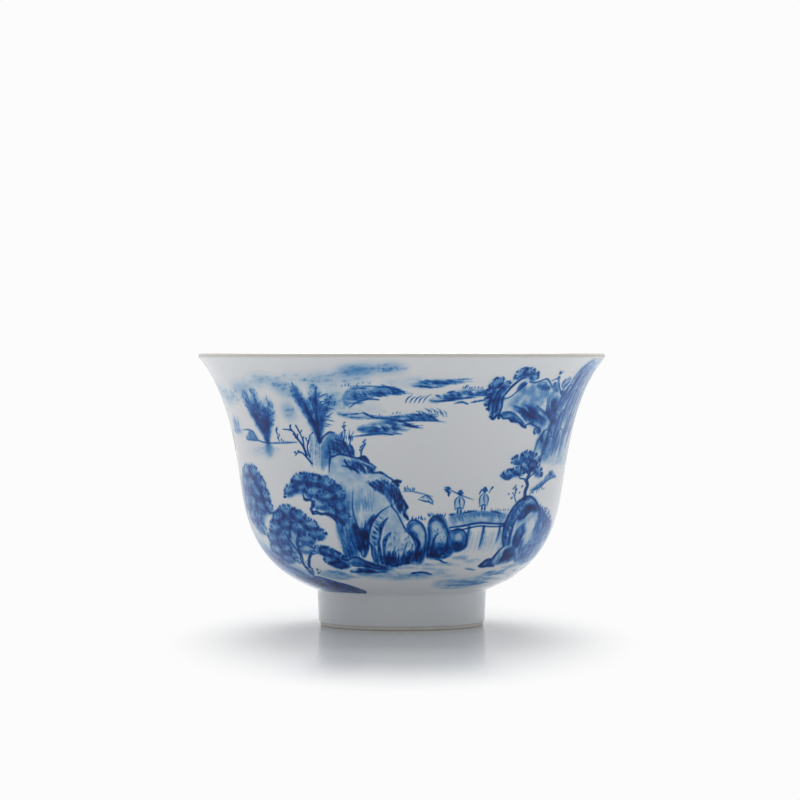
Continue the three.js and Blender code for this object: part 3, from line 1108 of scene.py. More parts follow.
# %% The falling face, the cleft and the left fold
wash([(-13.4, 27), (-11.6, 28.4), (-10, 26), (-9.8, 20), (-9.6, 14), (-12.6, 13.4), (-13.4, 18)], 0.2,
     0.8, 0.5)
for g in np.linspace(-13.2, -8.6, 30):
    top = between(20, 29)
    fall = between(2.5, 6)
    stroke([(g + between(-0.2, 0.2), top), (g - 0.15, top - fall / 2),
            (g + between(-0.3, 0.2), top - fall)], between(0.18, 0.36), between(0.15, 0.5),
           (0.3, 1, 0.3), 0.17, 0.45)
for g in np.linspace(-13, -9.8, 26):
    top = between(14.5, 21)
    stroke([(g, top), (g + 0.2, top - 2.2), (g + 0.5, max(12.6, top - between(3, 5)))],
           between(0.24, 0.45), between(0.3, 0.75), (0.3, 1, 0.5), 0.17, 0.4)
form([(-9.4, 27.5), (-9.5, 24), (-9.2, 21.4), (-8.5, 19.6), (-7.6, 20.4), (-6.4, 22), (-5.2, 23.4),
      (-4.8, 26), (-6, 28), (-8, 28.4)], 0.1, 0.3, 0.25)
for g in np.linspace(-9, -5.4, 17):
    stroke([(g, between(24.5, 27.6)), (g + 0.05, between(22.5, 24.4))], 0.18, between(0.2, 0.5),
           (0.3, 1, 0.3), 0.13, 0.3)
edge([(-9.5, 27), (-9.7, 23.5), (-9.2, 21), (-8.6, 19.2)], 0.32, 0.75, (0.2, 0.7, 1, 1))
wash([(-9.9, 20.5), (-9.2, 20.6), (-8.4, 19.3), (-7.2, 20.6), (-5.6, 22.6), (-5.2, 21.6), (-6.8, 19.4),
      (-6.9, 16.5), (-7.4, 14.6), (-8.6, 13.4), (-9.6, 15.5)], 0.78, 0.4, 0.6)
texture([(-9.8, 19.8), (-5.6, 22.4)], [(-9.2, 13.6), (-7, 15)], 46, 0.3, 0.8)
form([(-6.9, 17), (-6.2, 20), (-5, 22), (-3.4, 23.6), (-2.4, 24.2), (-2.8, 21), (-4.2, 19), (-5, 16),
      (-5.6, 12), (-6.6, 11.8), (-6.6, 15)], 0.14, 0.25, 0.1)
texture([(-6.6, 17), (-6, 20.2), (-4.2, 22.6)], [(-5.2, 16), (-4.6, 18.8), (-3, 21)], 40, 0.24)
edge([(-2.4, 24.2), (-4.2, 23), (-5.6, 21.3), (-6.5, 19.4), (-6.9, 17.2), (-6.4, 16), (-6.5, 14),
      (-6.1, 12.2)])
stroke([(-5.9, 16.2), (-5.7, 14), (-5.5, 12)], 0.8, 0.8, (0.3, 1, 1), 0.28, 0.3)
stroke([(-2.7, 21.9), (-3.6, 21), (-4.2, 19.8), (-4.4, 18.4), (-4.8, 16.6), (-4.7, 14), (-4.4, 11.8)],
       0.75, 0.88, (0.4, 1, 0.6, 0.8, 1.2, 1), 0.18, 0.3)

# %% The great boulder and the stones beside it
form([(-2, 24.2), (-0.9, 23), (-0.2, 21.4), (0.6, 19.8), (2, 18.2), (2.8, 16.4), (2.7, 14), (1.8, 12.2),
      (-0.4, 11.4), (-2.6, 11.4), (-4, 12.2), (-4.2, 14.5), (-4.2, 16.8), (-3.7, 19.4), (-2.8, 21.4)],
     0.12, 0.3, 0.05)
stroke([(-2.3, 18.9), (-3, 18.2), (-3.6, 17), (-3.8, 15.2), (-3.9, 13.6)], 0.8, 0.84,
       (0.4, 1, 0.7, 0.5), 0.2, 0.35)
texture([(-4, 14.4), (-2, 15.4), (0, 14.6), (1.6, 15.4), (2.7, 16)],
        [(-3.9, 11.8), (-2.4, 11.2), (-0.8, 11.4), (1.2, 12), (2.4, 13)], 95, 0.28, 0.8)
wash([(-4.1, 13.6), (-2.6, 14), (-1, 13.3), (-0.6, 11.4), (-2.8, 11), (-4.1, 11.8)], 0.7, 0.5, 0.6)
wash([(0.1, 13.6), (1.4, 14), (2.8, 14.8), (2.6, 12.6), (1, 11.8), (0, 12)], 0.58, 0.5, 0.6)
strokes([[(-0.2, 11.6), (0.3, 14), (1, 16.8)], [(1.4, 12), (1.9, 14.4), (2.3, 16.6)],
         [(-1.8, 12), (-1.9, 14), (-1.4, 16)]], 0.5, 0.66, (1, 0.7, 0.3), 0.22, 0.35)
for g, s in spots_in([(-3, 16), (-1, 20.6), (1.6, 17.6), (1, 14.6), (-2, 14.8)], 30):
    flick(g, s, between(70, 105), between(0.3, 0.9), 0.17, between(0.2, 0.55))
edge([(-2, 24.2), (-0.9, 22.8), (0, 21), (0.9, 19.4), (2.2, 18), (2.9, 16.2), (2.8, 14), (2.3, 12.6)],
     0.38, 0.92, (0.8, 0.5, 0.7, 1, 0.8, 1, 1))
edge([(-2.6, 11.2), (-1, 11.5), (-0.2, 12), (0.8, 12), (1.6, 12.3)])

stone([(1, 20), (2.2, 21.4), (3.8, 20.8), (4.8, 19.4), (5, 16), (4.9, 13.4), (4, 11.8), (2.8, 12.4),
       (2.6, 15), (2.9, 17.2)],
      [(2, 20), (3.2, 20.6), (4.4, 19.2), (4.7, 16.8), (4, 15.2), (3.7, 17.4), (3, 18.8)],
      [(2.8, 14.8), (4.9, 15.4), (4.9, 13.4), (4, 11.6), (2.7, 12.3)],
      [(1, 20.4), (1.7, 21.3), (2.8, 21.4), (4, 20.6), (4.8, 19), (5, 16.6), (4.8, 14)], 30)
stroke([(1.1, 19.9), (2.2, 18.4), (3.1, 17.4), (3.6, 16.4), (3.2, 15.2), (3, 13.4)], 0.6, 0.9,
       (0.5, 0.8, 1.2, 1, 0.6), 0.16, 0.2)
stone([(5.3, 20.8), (6.2, 22), (7.6, 21.8), (8.8, 20.4), (9.8, 18.6), (11, 16), (11, 14), (9.4, 13.3),
       (7.4, 13.4), (5.8, 13.6), (5.2, 16)],
      [(6, 20.8), (7, 21.4), (8.2, 20), (9.4, 17.6), (9.5, 15.4), (8.2, 15), (7, 15.4), (6.7, 17.8),
       (6.2, 19.2)],
      [(5.4, 16), (10.8, 16.4), (11, 14), (8.4, 13.2), (5.6, 13.5)],
      [(5.3, 20.6), (6, 21.9), (7.2, 22), (8.4, 20.9), (9.4, 19.2), (10.4, 17.2), (11, 15.2)], 34)
strokes([[(7.3, 18.8), (6.7, 17.6), (6.5, 16), (6.3, 14)], [(9.5, 18), (9.6, 16), (9.3, 14.2)],
         [(5.3, 20), (5.7, 18), (5.5, 15.6), (5.7, 13.8)]], 0.52, 0.86, (0.4, 1, 1), 0.18, 0.25)
for g, s in spots_in([(6.6, 16), (6.8, 20), (8, 19.6), (9, 16)], 20):
    flick(g, s, between(70, 105), between(0.3, 0.7), 0.17, between(0.2, 0.55))
wash([(5.4, 20.9), (6.2, 22.3), (8, 22.3), (9.6, 20), (10.4, 18), (9.4, 19), (8, 20.8), (6.8, 21.4)],
     0.5, 0.3)
stone([(10, 18.6), (11.4, 19.5), (13, 19), (13.9, 17.4), (13.9, 15.6), (12.6, 14.8), (11, 15.2)],
      [(11, 18.4), (12, 18.8), (12.8, 17.6), (12.4, 16.8), (11.5, 17)],
      [(10.8, 16.8), (13.8, 17), (13.8, 15.6), (12.2, 14.8), (10.9, 15.2)],
      [(10, 18.8), (11.2, 19.6), (12.8, 19.2), (13.8, 17.8), (13.9, 16)], 22)
tuft(1.8, 4.6, 21.5, 9, 0.8, 0.9, 0.22, 88)
tuft(5.2, 8.6, 22.1, 12, 0.75, 0.9, 0.22, 88)


# %% [markdown]
# A plank bridge leads to the right bank, and two travellers cross it. They are a few
# touches each, a robe, a hat and a pole, with no face.

# %% The bridge and the travellers
DECK_TOP = [(9.6, 22.5), (12, 22.9), (15.4, 23.1), (19, 22.9), (22.8, 22.4)]
DECK_FOOT = [(9.8, 19.9), (12.4, 20.2), (16, 20.7), (19.5, 20.5), (23.2, 20.3)]
form(DECK_TOP + DECK_FOOT[::-1], 0.2)
for g in np.linspace(9.8, 21.6, 34):
    flick(g, float(np.interp(g, *np.array(DECK_TOP).T)), between(-63, -53), between(1.1, 1.9), 0.18,
          between(0.35, 0.7))
stroke(DECK_FOOT, 0.42, 0.86, (0.7, 1, 1, 0.8, 1), 0.13, 0.15)
stroke([(9.9, 19.3), (12.6, 19.5), (16, 20.1), (19.5, 19.9), (23, 19.9)], 0.3, 0.8, (0.7, 1, 0.8, 1),
       0.13)
strokes([[(9.4, 22.5), (10.5, 22.5)], [(12.2, 22.7), (13.6, 23), (14.8, 23.1)],
         [(18.6, 22.9), (19.8, 22.8), (21.2, 22.4)]], 0.34, 0.85)
tuft(12.6, 15, 22.9, 5, 0.6, 0.8)
tuft(18.4, 22.6, 22.9, 8, 0.6, 0.8)
stroke([(22.4, 20.3), (23.2, 20.2)], 0.8, 0.9, (1, 0.8))
for g, deep in ((13.9, 16.4), (17.3, 15.8), (21.4, 16.8)):
    stroke([(g, 19.9), (g + 0.05, 18), (g - 0.05, deep)], 0.6, 0.75, (1, 0.7, 0.15), 0.24, 0.2)
    stroke([(g + 0.3, 18.6), (g + 0.2, deep - 0.4)], 1.1, 0.24, (1, 0.4), 0.4, 0.3)
for g in np.linspace(14.2, 22.2, 16):
    stroke([(g, between(17.5, 19.2)), (g - 0.05, between(15.6, 17)), (g - 0.2, between(14.2, 15.4))],
           0.3, between(0.08, 0.26), (0.6, 1, 0.2), 0.25, 0.3)


def traveller(g, s, load=0.85):
    """A robed figure seen from behind, standing at (g, s)."""
    def at(across, up):
        return moved(g, s, across, up)

    robe = [at(-0.8, 0.8), at(-0.95, 2.3), at(-0.35, 3.4), at(0.35, 3.3), at(0.9, 2.2), at(0.7, 0.8)]
    lift(robe)
    wash(robe, 0.14, 0.2)
    strokes([[at(-0.3, 3.4), at(-0.95, 2.6), at(-0.85, 0.9)], [at(0.3, 3.3), at(0.9, 2.4), at(0.75, 1)],
             [at(-0.8, 0.9), at(0, 1.2), at(0.7, 1)], [at(0, 3.4), at(-0.1, 2.4), at(0.2, 1.4)]], 0.24,
            load, soft=0.11)
    strokes([[at(-0.3, 0.9), at(-0.3, 0)], [at(0.3, 0.9), at(0.35, 0)]], 0.38, load)
    stroke([at(-0.05, 3.9), at(0.05, 3.9)], 0.75, 0.8 * load, (1, 1), 0.12)
    stroke([at(-0.6, 3.95), at(0, 4.5), at(0.6, 3.9)], 0.3, load, (0.5, 1, 0.5), 0.11)


traveller(11.4, 22.6)
strokes([[(8.2, 27.8), (11.4, 26.3), (14.2, 25.3)]], 0.19, 0.85, (0.6, 1, 0.4), 0.1)
strokes([[(8.2, 27.4), (9.1, 27.1)], [(8.5, 27), (9.5, 26.7)], [(8.6, 27.8), (9.4, 27.5)],
         [(9, 26.8), (9.1, 26)]], 0.42, 0.85)
traveller(16.6, 23.1)
stroke([(17.6, 26.6), (18, 27.3), (18.3, 27.6)], 0.26, 0.85, (0.5, 0.6, 1.4))
stroke([(15.9, 27.3), (15.4, 26.3)], 0.32, 0.8)

tuft(0.5, 2.3, 27.1, 7, 1.0, 0.8, 0.22, 92)
strokes([[(0.2, 27), (2.2, 27), (4, 26.6)], [(2.4, 26.8), (4.2, 26.5), (6, 26)]], 0.18, 0.5)
strokes([[(3.2, 25.5), (4.2, 25.2), (5.2, 25), (6, 24.6)],
         [(3.6, 25.8), (4.6, 26.2), (5.4, 25.8), (6, 25)]], 0.27, 0.8, (0.35, 1, 0.7))
texture([(4, 25.9), (5.4, 25.9)], [(4.2, 25.3), (5.6, 25.1)], 8, 0.18)


# %% [markdown]
# The right bank is a hollow rock with a spreading pine on top. A dark outer shoulder
# curls over a pale band, and the lit inner face sinks back into soft washes.

# %% The tree rock
form([(22.4, 19), (23, 22), (24.4, 24.2), (26.5, 25.4), (29, 25.6), (31.5, 24.6), (34, 22.8),
      (38, 21.2), (42, 20), (45, 17.5), (44, 14), (40, 11), (33, 11.2), (28, 12), (25.5, 11),
      (22.6, 15)], 0.2, 0.6)
stroke([(24.4, 15.6), (23.2, 18), (23.2, 20.4), (24.4, 23), (26.6, 25), (28.6, 25.3)], 1.6, 0.6,
       (0.6, 1, 0.9, 0.5), 0.35, 0.4)
texture([(23, 18), (24, 22.4), (27, 25)], [(24.4, 17), (25.2, 21), (27.6, 24.2)], 70, 0.26, 0.72)
edge([(24.2, 15.4), (22.8, 17.6), (22.6, 20.4), (23.6, 23), (25.4, 24.7), (26.8, 25.2)], 0.42, 0.9,
     (0.8, 0.7, 1, 0.7, 1))
stroke([(25.4, 15.8), (24.9, 17.6), (24.9, 19.8), (25.2, 21)], 0.85, 0.85, (1, 0.9, 0.5), 0.22, 0.25)
wash([(25.5, 21.4), (27, 23.4), (29, 24.4), (31.2, 23.9), (33, 22.5), (31, 22.6), (29.4, 22.6),
      (27.6, 21.4), (26.2, 21)], 0.7, 0.45, 0.5)
texture([(25.6, 21.6), (28, 24.1), (32.4, 23)], [(26.4, 21), (28.8, 22.2), (31.4, 22.6)], 46, 0.28)
edge([(26.6, 25.3), (28.4, 25.6), (30.2, 25), (31.6, 24), (33, 22.9)], 0.5, 0.9, (0.5, 0.9, 0.8, 1.1))
stroke([(26.2, 21.2), (27.6, 21.4), (28.8, 22.2), (30, 22.8)], 0.35, 0.8, (0.3, 1, 0.4), 0.15)
strokes([[(28.4, 20.2), (27.2, 19.4), (26.6, 18), (26.8, 16.2), (27.6, 15.2)],
         [(29.4, 18.6), (28.4, 17), (28.4, 15.6)], [(27.8, 19.6), (28.6, 18.4), (28.9, 16.6)]], 0.65,
        0.62, (0.3, 1, 0.7), 0.28, 0.35)
wash([(26.4, 19.2), (28.2, 20), (29.6, 18), (29.4, 15), (27.2, 14.6), (26, 17)], 0.42, 0.6, 0.7)
texture([(26.4, 19), (29, 19.6)], [(26.8, 15.2), (29.2, 15)], 30, 0.28, 0.5)
lift([(29.8, 20.8), (31.4, 21.4), (32.2, 19.6), (32, 17.2), (30.8, 16.4), (30, 18)], 0.3, 0.7)
form([(19.4, 11), (20.4, 12.4), (22, 12.8), (22.8, 14.4), (24, 15.4), (26, 15.6), (28, 15), (30, 13),
      (29.6, 11.8), (27, 11.6), (24, 10.8), (21.5, 10.6)], 0.42)
wash([(19.3, 10.9), (20.3, 12.4), (21.8, 12.8), (23, 11.6), (24.2, 10.7), (21.5, 10.6)], 0.7, 0.3, 0.5)
texture([(22.6, 14.8), (26, 15.3), (29.4, 13.4)], [(22, 11.6), (25, 11.2), (28.6, 11.8)], 70, 0.28,
        0.66)
lift([(22.7, 12.2), (23.5, 14.4), (24.6, 15), (24.4, 13), (23.8, 11.6)], 0.45, 0.3)
edge([(24, 15.5), (23, 14.4), (22.2, 12.8), (20.6, 12.4), (19.4, 11)], 0.5, 0.92,
     (0.6, 0.8, 0.8, 1, 0.8))
edge([(19.3, 10.9), (21, 10.6), (22.6, 11), (24.4, 10.6)], 0.45)
wash([(25, 14.6), (27.4, 15), (29.6, 12.6), (28, 11.4), (26, 12)], 0.5, 0.5, 0.6)
strokes([[(30, 15.4), (29.4, 13.8), (30.4, 12.4), (32, 11.4)], [(31.4, 14.8), (32.6, 13), (34.6, 12)],
         [(29.8, 17), (30.2, 14.6), (30.8, 13.4)]], 0.7, 0.5, (0.3, 1, 0.4), 0.3, 0.35)

# the shoulder that runs back from the rock, in soft folds
wash([(32, 23.4), (35, 22.4), (39, 21), (43, 19.4), (43, 16), (38, 15.4), (34, 16), (32.6, 18.6),
      (33, 21)], 0.3, 0.9)
wash([(30.6, 15), (34, 15.2), (39, 15), (44, 13.6), (44, 11.6), (38, 10.4), (33, 11), (31, 12.6)], 0.28,
     0.9)
for g0, s0, g1, s1, load in [(33, 22.6, 34.4, 18, 0.5), (35, 22, 36.4, 17.4, 0.42),
                             (37.4, 21, 38.6, 16.6, 0.46), (39.6, 20.4, 40.8, 16.4, 0.36),
                             (32.8, 16.4, 34, 12, 0.4), (36, 15.6, 37, 11.6, 0.4),
                             (39.6, 15, 40.6, 11.8, 0.34)]:
    stroke([(g0, s0), ((g0 + g1) / 2 + 0.5, (s0 + s1) / 2 + 0.4), (g1, s1)], 1.1, load, (0.4, 1, 0.3),
           0.5, 0.3)
texture([(32, 23.2), (36, 22.2), (41, 20.4)], [(33, 20.2), (37, 19), (42, 17.8)], 50, 0.34, 0.5)
for g, s in ((34.6, 22.7), (36.2, 22.4), (37.8, 21.8), (38.8, 20.8), (33.4, 23)):
    for _ in range(6):
        flick(g + between(-0.6, 0.6), s + between(-0.3, 0.4), between(20, 160), between(0.4, 0.9), 0.3,
              between(0.35, 0.7))
stroke([(32.6, 22.8), (35.2, 22), (37.6, 21), (40, 20)], 0.4, 0.55, (0.4, 1, 0.5), 0.22, 0.3)
stroke([(31.4, 15.6), (34, 15.2), (37, 15.6), (40, 16)], 0.6, 0.45, (0.3, 1, 0.4), 0.3, 0.3)

# %% The bay shore and the pine on the rock
wash([(28.6, 26.9), (32, 27.4), (35, 28.9), (38.6, 29), (36, 30.4), (34.6, 30), (31, 28)], 0.32, 0.4,
     0.6)
stroke([(28.4, 26.8), (31, 27.2), (33.4, 28.2), (35.6, 28.9), (38.6, 29.2)], 0.4, 0.66,
       (0.3, 0.9, 1, 0.4), 0.2, 0.3)
stroke([(34.6, 30.3), (35.4, 29.8), (36.6, 29.4)], 0.5, 0.6)
for g in np.linspace(28.4, 33, 18):
    flick(g, 26 + 0.25 * (g - 28) + between(-0.6, 0.5), between(20, 170), between(0.4, 1), 0.24,
          between(0.3, 0.7))
twig([(24.6, 24.6), (24, 25.8), (24.2, 27.6)], 0.24, 0.7, 0.22, 5, 0.9, 100)
for g, s in ((23.2, 25.4), (22.3, 26.2), (24.2, 26.9), (25.2, 26.4), (23.4, 27.2), (25.8, 27.6)):
    stroke([(g, s), moved(g, s, 0.15, 0.1)], between(0.26, 0.4), between(0.4, 0.75), (1, 1), 0.11)

bough([(27.1, 25.2), (26.9, 26.6), (27.4, 27.8), (26.9, 28.9), (27.7, 30.2), (27.6, 31.4)], 0.85, 0.9)
stroke([(26.9, 25.2), (26.8, 26.8), (27.4, 28), (27, 29)], 0.6, 0.75, (1, 0.9, 0.6), 0.15, 0.2)
strokes([[(27.2, 27.9), (26.2, 29), (25, 29.2), (24.6, 29.8)], [(27.2, 29), (28.4, 29.8), (29.6, 30.3)],
         [(27.6, 30.2), (28.4, 31), (28.9, 31.6)], [(27.4, 29.8), (26.4, 30.8), (25.6, 31.4)]], 0.32,
        0.88, (1, 0.8, 0.5), 0.12)
for pad in [(24.1, 32.7, 1.7, 0.85, 5), (26.4, 33.3, 1.8, 1, 0), (28.6, 32.8, 1.8, 0.95, -14),
            (21.9, 30, 1.9, 0.75, 8), (24.3, 30.4, 1.6, 0.85, -4), (26.6, 31.2, 1.5, 0.9, 0),
            (30, 30.5, 1.9, 1.1, -28), (28.2, 31.4, 1.4, 0.9, 0)]:
    pine_pad(*pad, 0.98)
stroke([(20.2, 29.6), (21.4, 29.1), (22.8, 29.4)], 0.3, 0.85, (0.3, 1, 0.4))
stroke([(23.2, 32), (24.4, 31.9), (25.2, 32.1)], 0.26, 0.8)


# %% [markdown]
# A cliff hangs over the water from the right. Its nose is dark and cracked, its cap is
# pale, and below and behind it the stone drops in long folds that fade into mist.

# %% The overhanging cliff
form([(15.9, 42), (15.3, 44.5), (15.6, 47), (17.5, 47.6), (19.2, 49.2), (21.5, 50), (23.6, 48.6),
      (26.2, 48.9), (29, 48.4), (31.4, 47), (33.4, 45.6), (35, 47.6), (35.6, 51), (38.4, 53.6),
      (47, 53.6), (50, 45), (50, 33), (46, 31.4), (40, 31.6), (36, 31.4), (32.4, 32), (30.2, 33.6),
      (29.4, 36), (28.8, 37.8), (26.8, 39.4), (24.8, 39.4), (21, 40.6), (18.6, 41.6), (17, 40.8)], 0.06)
wash([(20, 43.6), (22, 47.4), (27, 47.6), (31, 46.4), (33, 44.4), (36, 42), (33, 39), (29, 38.4),
      (24, 40.6)], 0.2, 0.8, 0.7)
wash([(15.8, 42.4), (15.4, 45.4), (16.2, 47.2), (18, 47.4), (18.4, 45.4), (18.1, 43.4), (18.2, 41.6),
      (16.9, 40.9)], 0.48, 0.3, 0.7)
strokes([[(17.9, 41.8), (18.2, 43.4), (18, 44.8), (18.4, 46), (19.6, 47.8), (21, 49.2)],
         [(16.6, 41.4), (16.4, 43), (16.5, 45), (17, 46.6), (18, 47.8)],
         [(17.2, 42.4), (17.2, 44), (17.4, 46)], [(15.7, 42.6), (15.5, 44.4), (16, 46.2)]], 0.45, 0.88,
        (0.8, 1, 0.6, 1, 0.4), 0.15, 0.25)
texture([(16.4, 42), (16.4, 46.8)], [(18, 42), (18, 46.6)], 34, 0.24, 0.6)
lift([(18.6, 45.1), (19, 46.4), (20.2, 47.8), (21.2, 48.6), (22, 48), (21.2, 46.6), (20, 45.4)], 0.25,
     0.2)
wash([(20.6, 46.4), (20.9, 47.9), (21.9, 48.4), (22.3, 47.7), (21.4, 46.9)], 0.6, 0.3)
stroke([(18.4, 44.9), (19.4, 45.2), (20.6, 46.2), (21.8, 47.4), (22.3, 48)], 0.3, 0.8, (0.6, 0.8, 1))
stroke([(18.5, 45.8), (19.4, 47.4), (20.8, 49), (21.5, 49.3)], 0.42, 0.9, (0.4, 1, 0.8))
stroke([(16.1, 41.4), (16.8, 40.9), (17.4, 41.5), (18.3, 41.6)], 0.55, 0.9, (0.7, 1, 0.6))
for g, s in ((15.3, 42.9), (15.2, 45.9), (17.9, 41.1), (14.9, 45.2)):
    stroke([(g, s), (g + 0.2, s)], 0.5, 0.9, (1, 1), 0.11)
for pad in [(16.2, 48, 1.5, 1.1, 35), (17.9, 47.6, 1.1, 0.8, 10), (20.4, 50.2, 1.4, 1, 40),
            (22, 50.3, 1.3, 1, -10), (23.4, 49.4, 1, 1, -50), (15.5, 46.2, 0.9, 0.9, 60),
            (15.3, 44.4, 0.7, 0.8, 70)]:
    pine_pad(*pad, 0.95)

# knolls along the cap
stroke([(22.8, 48.4), (24, 48.2), (25.2, 48.5), (26.6, 49), (27.8, 48.3), (29, 47.2)], 0.32, 0.8,
       (0.6, 0.8, 1, 0.6), 0.13)
wash([(25, 48), (26.6, 48.4), (28.4, 47.2), (29, 46.5), (26.8, 46.6), (25.2, 47.2)], 0.5, 0.35, 0.7)
texture([(25.2, 48), (28.4, 47.4)], [(26.2, 46.9), (28.8, 46.6)], 26, 0.24, 0.6)
stroke([(28.2, 48.6), (29.6, 49), (30.6, 48), (31.6, 46.8), (33, 45.6)], 0.34, 0.72, (0.5, 1, 0.8))
wash([(29, 48.2), (30, 48.2), (31.6, 46.6), (30.8, 46.2), (29.2, 46.8)], 0.5, 0.4, 0.6)
for _ in range(9):
    flick(29.8 + between(-0.4, 0.5), 48.8 + between(0, 1.5), between(60, 120), between(0.4, 0.9), 0.32,
          0.7)
pine_pad(32.9, 48, 1.2, 1, 20, 0.75)
stroke([(33, 47.3), (32.9, 46.2)], 0.4, 0.65)
texture([(31.6, 46.6), (33.4, 46.8)], [(32.8, 45), (34, 46)], 26, 0.28, 0.6)

# the broken underside
stroke([(18.3, 41.7), (19, 41), (20.2, 41), (21, 40.4), (22.6, 40.2), (23.8, 39.4), (24.7, 39.1)], 0.5,
       0.9, (0.8, 0.6, 1, 0.5, 1, 0.7), 0.14, 0.15)
stroke([(18.6, 42.1), (20, 42.2), (21.6, 41.6), (23, 40.6), (24, 39.8)], 0.42, 0.76, (0.6, 1, 0.6, 0.8),
       0.17, 0.25)
wash([(18.6, 42), (20.4, 42.2), (22, 41.4), (23.8, 40), (24.4, 39.3), (22.4, 40), (20.2, 40.8),
      (18.8, 41.1)], 0.5, 0.3, 0.7)
stroke([(24.4, 39.5), (25.6, 39.9), (26.8, 39.5), (28, 39), (29, 38.2)], 0.42, 0.85, (0.6, 0.9, 0.7, 1),
       0.15, 0.2)
wash([(27, 39), (28.4, 39.2), (29.6, 38), (30.6, 36.2), (29.8, 36), (29, 37.4), (27.6, 38.2)], 0.6,
     0.35, 0.6)
stroke([(27.2, 38.8), (27.1, 38.2), (27.5, 37.8)], 0.45, 0.85, (0.6, 1, 0.8))
strokes([[(20.8, 43.4), (22.4, 42.9), (24, 41.8), (25.2, 40.6)],
         [(22.2, 43), (23.6, 42.6), (25, 41.4), (27, 40.8)],
         [(23.4, 43.6), (25.4, 42.6), (27.6, 41.4), (30, 40.4)],
         [(26.4, 43.4), (28.6, 42.2), (30.6, 41.4), (32.4, 39.8)]], 0.6, 0.82, (0.3, 1, 0.6), 0.22,
        0.35)
for shade in [[(23.8, 43.8), (25.6, 43.6), (27.2, 42.2), (25.6, 41.8), (24.6, 42.4)],
              [(25, 41.4), (28, 41.4), (30.4, 40.6), (30, 39.6), (27.4, 40), (25.4, 40.2)],
              [(30, 44.2), (32, 44.6), (33, 43), (32.6, 42), (31, 43.2)],
              [(32.2, 40.6), (34, 40.8), (33.6, 39.8), (32.4, 39.8)]]:
    wash(shade, 0.5, 0.5)
texture([(21, 43.2), (26, 43)], [(24.6, 40.4), (29, 40.4)], 60, 0.24, 0.75)
texture([(28, 45.6), (32, 44.6)], [(30, 40.6), (34, 39.6)], 60, 0.26, 0.7)

# %% The folds of the high ridge
HUMPS = [(31.4, 38.6, 5.4), (33.4, 41.6, 6.6), (33.2, 37.2, 5), (35.2, 47.6, 7), (35.8, 42.4, 7),
         (37.4, 51.6, 8), (36.8, 38.6, 6), (38.6, 46.6, 8), (40.8, 51.4, 9), (40, 41.6, 8),
         (42.6, 46.6, 9), (45.2, 51, 9), (43.8, 41, 7), (47.4, 46, 9), (49.4, 50, 8), (48.4, 40.6, 7),
         (51.6, 45, 8)]
for g, s, fall in HUMPS:
    lean = between(-1.6, -0.3)
    wide = between(0.9, 1.9)
    low = s - fall * between(0.8, 1.1)
    left = [(g - 0.7 * wide, s - 0.1 * fall), (g - wide, s - 0.3 * fall),
            (g - wide + 0.5 * lean, (s + low) / 2), (g - wide + lean, low)]
    crest = [left[1], left[0], (g - 0.2 * wide, s), (g + 0.5 * wide, s - 0.04 * fall),
             (g + wide, s - 0.2 * fall)]
    wash([(g - wide, s - 0.2 * fall), (g + 0.4 * wide, s - 0.1 * fall),
          (g + 0.5 * wide, s - 0.5 * fall), (g - 0.6 * wide + lean, low)], 0.26, 0.8)
    stroke(left, 1.2, 0.46, (0.5, 1, 0.7, 0.2), 0.5, 0.2)
    stroke(left, 0.42, between(0.5, 0.8), (0.6, 1, 0.7, 0.2), 0.2, 0.25)
    stroke(crest, 0.36, between(0.5, 0.8), (0.3, 1, 0.6, 0.9, 0.2), 0.18, 0.25)
    for share in np.linspace(0.3, 1.5, 5):
        x = g - wide + wide * share + between(-0.25, 0.25)
        top = s - between(0.12, 0.35) * fall
        foot = top - between(0.35, 0.65) * fall
        stroke([(x, top), (x + 0.4 * lean, (top + foot) / 2), (x + lean, foot)], between(0.22, 0.5),
               between(0.2, 0.5), (0.4, 1, 0.3), 0.2, 0.3)
strokes([[(33, 45.4), (34.4, 46.8), (35.2, 49.4), (36.4, 51.6), (38.4, 53.2)],
         [(34.2, 44), (35.4, 45.4), (36.6, 48.4), (38.4, 51)]], 0.9, 0.55, (0.5, 1, 1, 0.5), 0.36, 0.3)
wash([(35.6, 49), (37, 52), (40, 53.4), (46, 53.2), (50, 50), (44, 48), (39, 47)], 0.24, 0.9, 0.5)
mist(39, 33.4, 8, 1.6, 0.12)


# %% [markdown]
# Pines crowd the left bank. They are set back to front, each a few boughs hung with
# pads, and the nearest has its own dark rock at the water.

# %% The pines on the left bank
def pine(boughs, pads, dark=0.85):
    """A pine from its boughs and its pads, each pad with a tone of its own."""
    for points, width, load in boughs:
        bough(points, width, load)
    for g, s, wide, tall, turn, tone in pads:
        pine_pad(g, s, wide, tall, turn, dark * tone)


wash([(-43, 28), (-39, 31), (-35, 31), (-31.5, 27.6), (-30, 23.4), (-33, 21), (-36, 18), (-39, 18),
      (-43, 22)], 0.3, 0.9)
pine([([(-38.6, 19), (-36.8, 21), (-35.8, 24), (-36, 27)], 0.6, 0.6)],
     [(-38.6, 30, 3.2, 1.4, 8, 0.7), (-35, 29.8, 2.6, 1.5, -18, 0.8), (-33, 27.8, 2.2, 1.7, -40, 0.85),
      (-41, 27.6, 2.8, 1.8, 0, 0.55), (-37.6, 27.4, 2.6, 1.8, 0, 0.6), (-35, 26, 2.6, 1.7, -20, 0.72),
      (-31.8, 25.4, 1.9, 1.7, -50, 0.85), (-31, 23.4, 1.8, 1.2, -35, 0.8),
      (-34.2, 23.2, 2.4, 1.5, -10, 0.72), (-37.6, 24, 2.6, 1.6, 0, 0.58), (-41, 24, 2.6, 1.6, 0, 0.5),
      (-36.8, 21, 2.2, 1.4, 10, 0.62), (-40, 21, 2.4, 1.5, 0, 0.5), (-35.6, 18.8, 1.6, 1.2, -35, 0.55)])

